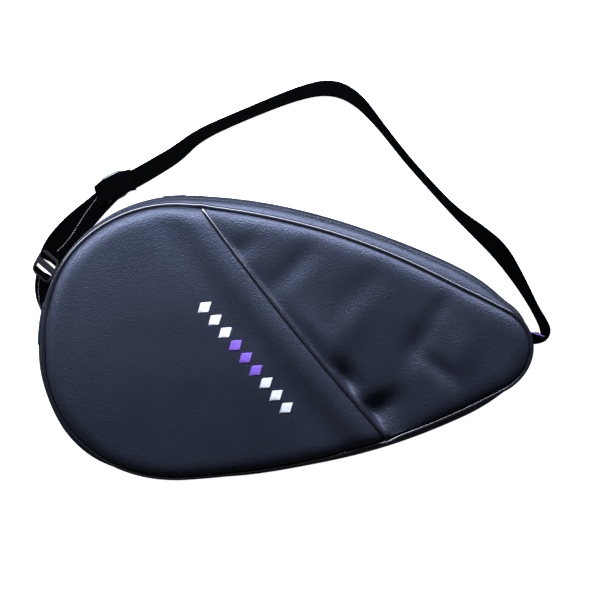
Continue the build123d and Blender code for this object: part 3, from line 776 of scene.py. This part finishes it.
def stitches(name, path, pitch=0.0038, length=0.0027, radius=0.00034, material=BLACK_THREAD):
    """A row of separate thread stitches along a path."""
    reach = reach_along(path)
    parts = []
    for start in np.arange(0.001, reach[-1] - length, pitch):
        along = start + np.linspace(0, 1, len(STITCH_ENDS)) * length
        centre = np.stack([np.interp(along, reach, path[:, k]) for k in range(3)], axis=-1)
        tangent = centre[-1] - centre[0]
        tangent /= np.linalg.norm(tangent)
        side = np.cross(tangent, [0.05, 0.02, 1.0])
        side /= np.linalg.norm(side)
        parts.append(rod(centre, side, np.cross(side, tangent), radius * STITCH_ENDS, 6))
    piece = join_meshes(name, parts)
    paint(piece, material)
    return piece


# ---- zipper ----
TOOTH_PITCH = 0.0013
TOOTH_HALF = 0.00042
TOOTH_DEPTH, TOOTH_SINK = 0.0026, 0.0021
TAPE_WIDTH, TAPE_SINK = 0.012, 0.0030
# A tooth's section: distance past the middle line and height.
TOOTH = [(-0.0004, 0.0006), (0.0008, 0.0013), (0.0020, 0.0012), (0.0028, 0.0003)]


def zip_teeth(name, side):
    """One row of the coil: rounded teeth that reach across the middle line."""
    count = len(TOOTH)
    angles = np.array([ZIP_ANGLE + side * offset / BAND_R for offset, _ in TOOTH])
    heights = np.array([height for _, height in TOOTH])
    faces = []
    for k in range(count - 1):
        a, b, c, d = k, k + 1, count + k + 1, count + k
        top = 2 * count
        faces += [(top + a, top + b, top + c, top + d), (d, c, b, a), (a, b, top + b, top + a),
                  (top + d, top + c, c, d)]
    faces += [(0, 2 * count, 3 * count, count), (count - 1, 2 * count - 1, 4 * count - 1, 3 * count - 1)]
    parts = []
    starts = np.arange(ZIP_START + 0.001, ZIP_END - 0.001, TOOTH_PITCH)
    for start in starts + (0.0 if side > 0 else TOOTH_PITCH / 2):
        points = band_points(np.array([start - TOOTH_HALF, start + TOOTH_HALF]), angles)
        _, normal, _ = rim(np.array([start]))
        outward = np.array([*(normal[0] * math.cos(ZIP_ANGLE)), math.sin(ZIP_ANGLE)])
        under = points - outward * TOOTH_DEPTH
        over = points + outward * (heights - TOOTH_SINK)[None, :, None]
        parts.append((np.concatenate([under.reshape(-1, 3), over.reshape(-1, 3)]), faces))
    piece = join_meshes(name, parts)
    apply_modifier(piece, "BEVEL", width=0.00015, segments=1)
    paint(piece, COIL)
    return piece


def zip_tape(name, side):
    angles = ZIP_ANGLE + side * np.linspace(0.0002, TAPE_WIDTH, 7) / BAND_R
    points = band_points(round_rim(ZIP_START, ZIP_END, 0.002), angles, lift=-TAPE_SINK)
    piece = grid_object(name, points, flip=side < 0)
    thicken(piece, 0.0006)
    paint(piece, TAPE)
    return piece


# ---- strap ----
# The strap's middle line in plan, from the tip to the loop buckle, and its lean from flat in degrees.
STRAP_ROUTE = [
    (0.2350, 0.0040, 50), (0.2500, 0.0030, 52), (0.2565, 0.0085, 58), (0.2530, 0.0190, 66),
    (0.2465, 0.0300, 70), (0.2390, 0.0435, 68), (0.2265, 0.0640, 60), (0.2090, 0.0890, 47),
    (0.1906, 0.1053, 55), (0.1633, 0.1270, 72), (0.1363, 0.1548, 75), (0.1124, 0.1805, 75),
    (0.0885, 0.2100, 75), (0.0660, 0.2350, 62), (0.0420, 0.2460, 53), (0.0109, 0.2400, 62),
    (-0.0459, 0.2161, 66), (-0.0870, 0.1970, 62), (-0.1070, 0.1790, 50), (-0.1296, 0.1650, 47),
    (-0.1482, 0.1540, 46), (-0.1678, 0.1440, 44), (-0.1890, 0.1240, 28), (-0.2130, 0.1040, 20),
    (-0.2330, 0.0815, 28), (-0.2370, 0.0705, 38),
]
# The doubled end's upper layer, from the tri-glide back to the buckle: plan, lean and height of its middle.
TAIL_ROUTE = [
    (-0.1600, 0.1488, 45, 0.0206), (-0.1728, 0.1388, 46, 0.0200), (-0.1842, 0.1240, 50, 0.0176),
    (-0.1933, 0.1114, 58, 0.0160), (-0.2061, 0.0951, 69, 0.0167), (-0.2167, 0.0816, 66, 0.0164),
    (-0.2290, 0.0725, 46, 0.0130),
]
# The edge of the doubled end's upper layer, in plan, from the tri-glide to the buckle; pale stitches along it
# are a painted highlight on its lit edge.
DOUBLED_EDGE = [
    (-0.1767, 0.1480), (-0.1857, 0.1351), (-0.1985, 0.1191), (-0.2100, 0.0995), (-0.2196, 0.0865),
    (-0.2270, 0.0800),
]
# The tab from the buckle into the side band.
TAB_ROUTE = [
    (-0.2385, 0.0580, 38, 0.0100), (-0.2405, 0.0480, 32, 0.0085), (-0.2408, 0.0380, 36, 0.0095),
    (-0.2400, 0.0270, 52, 0.0125), (-0.2375, 0.0170, 66, 0.0150),
]
WEB_WIDTH = 0.025
WEB_THICK = 0.0018
FLOOR_GAP = 0.0012


def smooth_line(points):
    """Points of the NURBS line that has the route's points as its control points."""
    data = bpy.data.curves.new("route", "CURVE")
    data.dimensions = "3D"
    data.resolution_u = 24
    spline = data.splines.new("NURBS")
    spline.points.add(len(points) - 1)
    for target, point in zip(spline.points, points):
        target.co = (*point, 1.0)
    spline.order_u = 3
    spline.use_endpoint_u = True
    holder = bpy.data.objects.new("route", data)
    bpy.context.scene.collection.objects.link(holder)
    bpy.context.view_layer.update()
    mesh = bpy.data.meshes.new_from_object(holder)
    line = np.array([tuple(vertex.co) for vertex in mesh.vertices])
    bpy.data.objects.remove(holder)
    bpy.data.meshes.remove(mesh)
    bpy.data.curves.remove(data)
    return line


def resample(line, step):
    """The line at even steps, and the distance along it at each."""
    reach = reach_along(line)
    at = np.linspace(0, reach[-1], int(round(reach[-1] / step)) + 1)
    return np.stack([np.interp(at, reach, line[:, k]) for k in range(3)], axis=-1), at


def leaning_line(route, step=0.002):
    """The route's smooth line in space, its lean in radians and the distance along it, at even steps."""
    stops = []
    for x, y, lean, *height in route:
        standing = FLOOR_GAP + WEB_WIDTH / 2 * math.sin(math.radians(lean))
        stops.append((x, y, height[0] if height else standing))
    plan = smooth_line(stops)
    leans = smooth_line([(math.radians(stop[2]), 0, 0) for stop in route])[:, 0]
    line, at = resample(plan, step)
    return line, np.interp(at, reach_along(plan), leans), at


def ribbon_axes(line, lean):
    """Unit vectors across a leaning ribbon, towards its raised edge, and out of its face."""
    tangent = units(np.gradient(line, axis=0))
    left = units(np.cross([0.0, 0.0, 1.0], tangent))
    upward = np.cross(tangent, left)
    lean = np.broadcast_to(lean, len(line))[:, None]
    return left * np.cos(lean) + upward * np.sin(lean), upward * np.cos(lean) - left * np.sin(lean)


def ribbon(name, line, lean, width=WEB_WIDTH, lift=0.0, slide=0.0):
    """Webbing along a line: leans from flat by an angle, with its raised edge on the line's left."""
    across, face = ribbon_axes(line, lean)
    lift = np.broadcast_to(lift, len(line))[:, None]
    columns = 11
    section = []
    for place in np.arange(columns) / (columns - 1) - 0.5:
        edge = min(1.0, (0.5 - abs(place)) * columns * 0.9 + 0.35)
        section.append((place * width, 0.5 * WEB_THICK * edge))
    section += [(place, -half) for place, half in reversed(section)]
    points = np.stack([line + across * (place + slide) + face * (height + lift) for place, height in section],
                      axis=1)
    count, around = points.shape[:2]
    piece = make_mesh(name, points.reshape(-1, 3), rod_faces(count, around))
    ribbon_uv(piece, np.repeat(reach_along(line), around), np.tile([place for place, _ in section], count))
    paint(piece, WEBBING)
    return piece


def dress(piece, slot=None, *nodes):
    if nodes:
        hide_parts(*nodes)


def ride_lid(piece, *labels):
    """For a piece of the front shell: hides the listed model parts and bakes the piece's placement into its
    mesh.
    """
    dress(piece, *labels)
    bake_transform(piece)


def ride_adjuster(piece, *labels):
    """For a piece of the doubled end: hides the listed model parts and bakes the piece's placement into its
    mesh.
    """
    dress(piece, *labels)
    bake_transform(piece)


def ride(piece, body, *labels):
    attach(piece, body)
    dress(piece, *labels)


def ride_root(piece, *labels):
    ride(piece, "root", *labels)


CORD_R = 0.0019


def build_front():
    ride_lid(cut_panel("front_head_leather", 1, head_height), "leather", "front_head_panel")
    ride_lid(cut_panel("front_tip_leather", -1, tip_height), "leather", "front_tip_panel")
    front = tube("front_piping", rim_path(FRONT_Z, seam_ends), PIPING_R, closed=True)
    ride_lid(front, "piping", "front_rim_piping")
    line = SEAM_TOP + SEAM_ALONG * np.linspace(0.0015, SEAM_RUN - 0.0015, 240)[:, None]
    _, _, bow = seam_frame(line)
    xy = line + SEAM_ACROSS * bow[:, None]
    z = cord_height(xy + SEAM_ACROSS * CORD_SEAT)
    ride_lid(tube("diagonal_cord", np.column_stack([settled(xy), z]), CORD_R), "piping", "diagonal_piping")


BAND_GAP = 0.0005
SEAM_ALLOWANCE = 0.07       # from the zipper's edge to its topstitch, in radians of the band's section


def build_sides():
    plain = side_band("plain_band", ZIP_END + BAND_GAP, PERIMETER + ZIP_START - BAND_GAP,
                      -BAND_HALF, BAND_HALF, 3)
    ride_root(plain, "leather", "plain_gusset")
    front = side_band("zipper_band_front", ZIP_START, ZIP_END, ZIP_ANGLE + ZIP_WINDOW, BAND_HALF, 5)
    ride_lid(front, "leather", "front_zip_gusset")
    back = side_band("zipper_band_back", ZIP_START, ZIP_END, -BAND_HALF, ZIP_ANGLE - ZIP_WINDOW, 7, rows=10)
    ride_root(back, "leather", "back_zip_gusset")
    ride_lid(zip_teeth("coil_front", 1), "zip_coil", "front_zip_coil")
    ride_root(zip_teeth("coil_back", -1), "zip_coil", "back_zip_coil")
    ride_lid(zip_tape("tape_front", 1), "zip_tape", "front_zip_tape")
    ride_root(zip_tape("tape_back", -1), "zip_tape", "back_zip_tape")
    distance = round_rim(ZIP_START + 0.004, ZIP_END - 0.004)
    for name, angle, rider, sizes in (
        ("topstitch_upper", STITCH_ANGLE, ride_lid, {"pitch": 0.0042, "length": 0.0030, "radius": 0.00046}),
        ("topstitch_zip_front", ZIP_ANGLE + ZIP_WINDOW + SEAM_ALLOWANCE, ride_lid, {}),
        ("topstitch_zip_back", ZIP_ANGLE - ZIP_WINDOW - SEAM_ALLOWANCE, ride_root, {}),
    ):
        line = band_points(distance, np.array([angle]), lift=0.0001)[:, 0]
        rider(stitches(name, line, **sizes), "leather")
    ride_root(tube("back_piping", rim_path(BACK_Z), PIPING_R, closed=True), "piping", "back_rim_piping")


def cap(name, xy, z, up, thickness, material):
    """A sheet from the seam line to the spine, with its shared middle points merged."""
    piece = grid_object(name, np.concatenate([xy, z[..., None]], axis=-1), wrap_rows=True)
    clean_mesh(piece, MERGE)
    face_up(piece, up)
    thicken(piece, thickness)
    paint(piece, material)
    return piece


def build_back():
    _, xy, depth = front_grid(500, 26, 1.6)
    foot = BACK_Z - 0.0008
    z = foot - shoulder(depth - EDGE_LIP, 0.010) * foot
    ride_root(cap("back_leather", settled(xy), z, False, LEATHER_THICK, LEATHER), "leather", "back_panel")


def build_inside():
    distance, _, inset = front_grid(360, 26, 1.2)
    point, normal, _ = rim(distance)
    for name, node, gap, material, slot in (
        ("front_foam_sheet", "front_foam", 0.0016, FOAM, "foam"),
        ("front_lining_sheet", "front_lining", 0.0038, LINING, "lining"),
    ):
        box_low, box_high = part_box(node)
        edge = (HEAD_R * 2 - (box_high[1] - box_low[1])) / 2
        xy = point[:, None, :] - normal[:, None, :] * np.maximum(inset, edge)[..., None]
        _, across, _ = seam_frame(xy)
        under = np.where(across > 0, head_height(xy), tip_height(xy, sewn=False)) - gap
        near_seam = np.exp(-((across / 0.012) ** 2)) * 0.003
        z = np.minimum(under - near_seam, box_high[2])
        piece = cap(name, xy, z, True, min(box_high[2] - box_low[2], 0.0018), material)
        ride_lid(piece, slot, node)


MOTIF_AT = (0.138, 0.057)           # along the seam and across it, from its top
LOZENGE_PITCH = 0.0156
LOZENGE_HALF = (0.0058, 0.0085)     # along the seam and across it
SATIN_STRANDS = 22
SATIN_ENDS = np.array([0.5, 0.9, 1, 1, 1, 0.9, 0.5])


def satin_lozenge(centre):
    """Parallel satin stitches that fill a lozenge."""
    half_width, half_height = LOZENGE_HALF
    parts = []
    for k in range(SATIN_STRANDS):
        across = (k + 0.5) / SATIN_STRANDS * 2 - 1
        half = half_height * (1 - abs(across))
        if half < 0.0004:
            continue
        along = np.linspace(-1, 1, len(SATIN_ENDS))
        xy = centre + SEAM_ALONG * (across * half_width) + SEAM_ACROSS * (along * half)[:, None]
        arch = np.sqrt(np.clip(1 - along**2, 0, 1))
        z = head_height(settled(xy)) + 0.00015 + 0.00045 * arch
        radius = half_width / SATIN_STRANDS * 1.15
        parts.append(rod(np.column_stack([xy, z]), np.array([*SEAM_ALONG, 0.0]), np.array([0.0, 0.0, 1.0]),
                         radius * SATIN_ENDS, 6))
    return parts


def build_motif():
    middle = SEAM_TOP + SEAM_ALONG * MOTIF_AT[0] + SEAM_ACROSS * MOTIF_AT[1]
    for name, node, places, material, slot in (
        ("motif_white_stitching", "white_motif", (-4, -3, -2, 2, 3, 4), WHITE_THREAD, "white_thread"),
        ("motif_purple_stitching", "purple_motif", (-1, 0, 1), PURPLE_THREAD, "purple_thread"),
    ):
        parts = []
        for place in places:
            parts += satin_lozenge(middle + SEAM_ALONG * place * LOZENGE_PITCH)
        piece = join_meshes(name, parts)
        paint(piece, material)
        ride_lid(piece, slot, node)


def resting(route, pieces, gap):
    """A line over plan points that rests on the highest of some pieces."""
    trees = [BVHTree.FromPolygons([vertex.co for vertex in piece.data.vertices],
                                  [tuple(face.vertices) for face in piece.data.polygons]) for piece in pieces]
    line, reach = resample(smooth_line([(x, y, 0) for x, y in route]), 0.001)
    heights = np.full(len(line), np.nan)
    for k, point in enumerate(line):
        above = Vector((point[0], point[1], 0.2))
        hits = [tree.ray_cast(above, Vector((0, 0, -1)))[0] for tree in trees]
        touched = [hit.z for hit in hits if hit]
        if touched:
            heights[k] = max(touched) + gap
    known = ~np.isnan(heights)
    line[:, 2] = np.interp(reach, reach[known], heights[known])
    return line


TAB_LAYERS = ((0, 0.021, 0.0, -0.002), (1, 0.017, 0.0021, 0.0035))     # number, width, lift and slide


def build_strap():
    line, lean, reach = leaning_line(STRAP_ROUTE)
    strap = ribbon("shoulder_webbing", line, lean)
    ride_root(strap, "webbing", "shoulder_strap", "tip_anchor")
    tail_line, tail_lean, _ = leaning_line(TAIL_ROUTE, 0.0015)
    tail = ribbon("doubled_webbing", tail_line, tail_lean)
    ride_adjuster(tail, "webbing", "strap_tail")
    # Pale stitches along the upper layer's edge: a painted highlight on its lit edge.
    edge = resting(DOUBLED_EDGE, (strap, tail), 0.0003)
    ride_adjuster(stitches("doubled_selvedge", edge, 0.0020, 0.0013, 0.00036, PAINTED_EDGE_HIGHLIGHT))
    tab_line, tab_lean, _ = leaning_line(TAB_ROUTE, 0.0015)
    for layer, width, lift, slide in TAB_LAYERS:
        tab = ribbon("tab_webbing_%d" % layer, tab_line, tab_lean, width=width, lift=lift, slide=slide)
        ride_root(tab, "webbing", "head_tab", "head_anchor")
    # Pale stitches along the tab's raised edge: a painted highlight on its lit edge.
    across, face = ribbon_axes(tab_line, tab_lean)
    edge = tab_line + across * (0.0075 - WEB_WIDTH / 2) + face * 0.0024
    ride_root(stitches("tab_selvedge", edge, 0.0017, 0.0012, 0.00032, PAINTED_EDGE_HIGHLIGHT))
    build_hardware()


def fitting_axes(along, lean):
    """Unit vectors along, across and out of a leaning fitting, which rises towards the case."""
    along = np.array([*along, 0.0]) / math.hypot(*along)
    left = np.cross([0.0, 0.0, 1.0], along)
    if left[1] > 0:
        left = -left
    across = left * math.cos(lean) + np.array([0, 0, math.sin(lean)])
    face = np.cross(along, across)
    return along, across, face if face[2] >= 0 else -face


RING_SIDE, RING_RISE = 0.0017, 0.0013     # half sizes of a frame's section
RING_INSET, RING_CORNER = 0.0016, 0.006


def two_slot_ring(name, centre, along, lean, size, bar, material):
    """A moulded two-slot frame: a rounded ring with a cross bar, given as its place and half width."""
    along, across, face = fitting_axes(along, lean)
    corner, half_a, half_b = RING_CORNER, size[0] / 2 - RING_INSET, size[1] / 2 - RING_INSET
    path = []
    for sign_a, sign_b, first in ((1, 1, 0), (-1, 1, 90), (-1, -1, 180), (1, -1, 270)):
        for step in range(9):
            turn = math.radians(first + step * 90 / 8)
            path.append((sign_a * (half_a - corner) + corner * math.cos(turn),
                         sign_b * (half_b - corner) + corner * math.sin(turn)))
    path = np.array(path)
    fine = []
    for first, last in zip(path, np.roll(path, -1, 0)):
        count = max(1, int(np.linalg.norm(last - first) / 0.001))
        fine += [first + (last - first) * k / count for k in range(count)]
    path = np.array(fine)
    direction = units(np.roll(path, -1, 0) - np.roll(path, 1, 0))
    out = np.stack([direction[:, 1], -direction[:, 0]], axis=-1)
    angles = np.linspace(0, 2 * math.pi, 14, endpoint=False)
    side, rise = (np.sign(wave) * np.abs(wave) ** 0.7 * size for wave, size in (
        (np.cos(angles), RING_SIDE), (np.sin(angles), RING_RISE)))
    local = path[:, None, :] + out[:, None, :] * side[None, :, None]
    points = np.array(centre) + local[..., :1] * along + local[..., 1:] * across + rise[None, :, None] * face
    runs = np.linspace(-half_b, half_b, 14)
    ring = np.array([[bar[0] + s / RING_SIDE * bar[1], r] for s, r in zip(side, rise * 0.92)])
    cross = (np.array(centre) + ring[None, :, :1] * along + runs[:, None, None] * across
             + ring[None, :, 1:] * face)
    piece = join_meshes(name, [
        (points.reshape(-1, 3), grid_faces(len(path), len(angles), wrap_rows=True, wrap_columns=True)),
        (cross.reshape(-1, 3), grid_faces(len(runs), len(angles), wrap_columns=True)),
    ])
    clean_mesh(piece)
    paint(piece, material)
    return piece


def webbing_fold(name, centre, along, lean, radius):
    """Webbing turned round a bar, open on the side away from the direction along."""
    along, across, face = fitting_axes(along, lean)
    angles = np.radians(np.linspace(-100, 100, 15))
    outer, inner = ([size * (np.cos(a) * along + np.sin(a) * face) for a in angles]
                    for size in (radius, radius - WEB_THICK))
    outline = np.array(outer + inner[::-1])
    runs = np.linspace(-WEB_WIDTH / 2, WEB_WIDTH / 2, 12)
    points = np.array(centre) + outline[None, :, :] + runs[:, None, None] * across
    count = len(outline)
    piece = make_mesh(name, points.reshape(-1, 3), rod_faces(len(runs), count))
    ribbon_uv(piece, np.tile(np.arange(count) * 0.0012, len(runs)), np.repeat(runs, count))
    paint(piece, WEBBING)
    return piece


BUCKLE_ALONG = (-0.48, -0.877)
BUCKLE_CENTRE = (-0.2376, 0.0652, 0.0125)
BUCKLE_LEAN = math.radians(41)
BUCKLE_SIZE = (0.026, 0.033)
BUCKLE_BAR = (-0.0007, 0.0034)
FOLD_R = 0.0033
GLIDE_ALONG = (0.895, 0.446)
GLIDE_CENTRE = (-0.1688, 0.1458, 0.0140)
GLIDE_LEAN = math.radians(45)
GLIDE_SIZE = (0.026, 0.0345)
GLIDE_BAR = (0.0, 0.0016)
HUMP_REACH, HUMP_RISE = 0.020, 0.0034       # the webbing's hump over the tri-glide's bar
HUMP_WIDTH, HUMP_SLIDE = 0.0285, 0.0026


def build_hardware():
    buckle = two_slot_ring("loop_buckle_frame", BUCKLE_CENTRE, BUCKLE_ALONG, BUCKLE_LEAN, BUCKLE_SIZE,
                           BUCKLE_BAR, BUCKLE)
    ride_root(buckle, "buckle", "loop_buckle")
    along = np.array([*BUCKLE_ALONG, 0.0])
    for name, place, turn in (("strap_fold", -0.0098, 1), ("tab_fold", 0.0092, -1)):
        centre = np.array(BUCKLE_CENTRE) + along * place
        ride_root(webbing_fold(name, centre, turn * along[:2], BUCKLE_LEAN, FOLD_R), "webbing")
    # The tri-glide's lighter grey colour is a painted highlight on its arched bars.
    glide = two_slot_ring("tri_glide_frame", GLIDE_CENTRE, GLIDE_ALONG, GLIDE_LEAN, GLIDE_SIZE,
                          GLIDE_BAR, GLIDE)
    ride(glide, "adjuster", "buckle", "tri_glide")
    places = np.linspace(-HUMP_REACH, HUMP_REACH, 40)
    rise = HUMP_RISE * np.clip(1.35 * np.cos(places / HUMP_REACH * math.pi / 2), 0, 1)
    line = np.array(GLIDE_CENTRE) + places[:, None] * np.array([*GLIDE_ALONG, 0.0])
    hump = ribbon("webbing_over_bars", line[::-1], GLIDE_LEAN, HUMP_WIDTH, rise[::-1], HUMP_SLIDE)
    ride(hump, "adjuster", "webbing")


def band_frame(distance, lift, turn=1):
    """A point on the zipper's middle line, and its directions along the rim, across it and outwards."""
    origin = band_points(np.array([distance]), np.array([ZIP_ANGLE]), lift=lift)[0, 0]
    _, normal, _ = rim(np.array([distance]))
    out = np.array([*(normal[0] * math.cos(ZIP_ANGLE)), math.sin(ZIP_ANGLE)])
    along = np.array([-normal[0][1], normal[0][0], 0.0]) * turn
    return origin, along, np.cross(out, along), out


def plate(name, outline, low, high, frame):
    """A flat enamelled outline raised between two heights, in a local frame, with bevelled edges."""
    origin, along, across, out = frame
    count = len(outline)
    points = [origin + x * along + y * across + height * out for height in (low, high) for x, y in outline]
    faces = [tuple(reversed(range(count))), tuple(range(count, 2 * count))]
    for k in range(count):
        faces.append((k, (k + 1) % count, count + (k + 1) % count, count + k))
    piece = make_mesh(name, points, faces, rounded_off=False)
    apply_modifier(piece, "BEVEL", width=0.0003, segments=2)
    clean_mesh(piece)
    paint(piece, ENAMEL)
    return piece


def rounded(length, width, radius, start=0.0):
    """Outline of a rounded bar that starts at a place along x."""
    far, near, side = start + length - radius, start + radius, width / 2 - radius
    outline = []
    for x, y, first in ((far, side, 0), (near, side, 90), (near, -side, 180), (far, -side, 270)):
        for step in range(6):
            turn = math.radians(first + step * 18)
            outline.append((x + radius * math.cos(turn), y + radius * math.sin(turn)))
    return outline


SLIDER_OUTLINE = [(-0.006, -0.0036), (0.002, -0.0040), (0.0058, -0.0026), (0.0058, 0.0026), (0.002, 0.0040),
                  (-0.006, 0.0036)]
SLIDER_PLACE = 0.0065       # each slider's distance from where the wide end's arc meets the long side
PULL_LEAN = math.radians(-6)


def build_sliders():
    for name, turn in (("head", -1), ("side", 1)):
        frame = band_frame(ARC_STARTS[2] - turn * SLIDER_PLACE, -0.0013, turn)
        origin, along, across, out = frame
        slider = plate(name + "_slider_plate", SLIDER_OUTLINE, 0.0002, 0.0014, frame)
        ride(slider, name + "_slider", "zip_metal", name + "_slider")
        crown = plate(name + "_slider_crown", rounded(0.005, 0.002, 0.0008, -0.0025), 0.0014, 0.0022, frame)
        ride(crown, name + "_slider")
        pull_along = -along * math.cos(PULL_LEAN) + out * math.sin(PULL_LEAN)
        pull_out = np.cross(pull_along, across)
        if pull_out @ out < 0:
            pull_out = -pull_out
        pull = plate(name + "_pull_bar", rounded(0.022, 0.0052, 0.0014), 0.0018, 0.0027,
                     (origin, pull_along, np.cross(pull_out, pull_along), pull_out))
        ride(pull, name + "_pull", "zip_metal", name + "_pull")
    for node, place in (("tip_zip_stop", ZIP_START), ("head_zip_stop", ZIP_END)):
        stop = plate(node + "_clip", rounded(0.0024, 0.0060, 0.0006, -0.0012), 0.0, 0.0018,
                     band_frame(place, -0.0020))
        ride_root(stop, "zip_metal", node)


def band_patch(name, start, end, low, high, node):
    """A leather patch sewn over the side band."""
    points = band_points(round_rim(start, end, 0.001), np.linspace(high, low, 14), lift=0.0012)
    piece = grid_object(name, points, flip=True)
    thicken(piece, LEATHER_THICK)
    paint(piece, LEATHER)
    ride_root(piece, "leather", node)


BARTACK = ((0.2345, 0.0150, 0.0300), (0.2545, 0.0080, 0.0240))


def build_ends():
    head_at = ARC_STARTS[2] - HEAD_R * HEAD_TANGENT
    start, end = (head_at + HEAD_R * math.radians(angle) for angle in (166, 183))
    band_patch("head_patch_leather", start, end, -0.6, 0.55, "head_patch")
    start, end = (PERIMETER - TIP_R * math.radians(angle) for angle in (50, 22))
    band_patch("tip_patch_leather", start, end, -0.5, 0.5, "tip_patch")
    line = np.linspace(*BARTACK, 30)
    ride_root(stitches("tip_bartack_thread", line, 0.0013, 0.0016, 0.00055, PURPLE_THREAD),
              "purple_thread", "tip_bartack")


for node, material in (("back_foam", FOAM), ("back_lining", LINING)):
    paint(bpy.data.objects[node], material)

add_camera()
add_stage()
build_strap()
build_front()
build_sides()
build_back()
build_inside()
build_motif()
build_sliders()
build_ends()
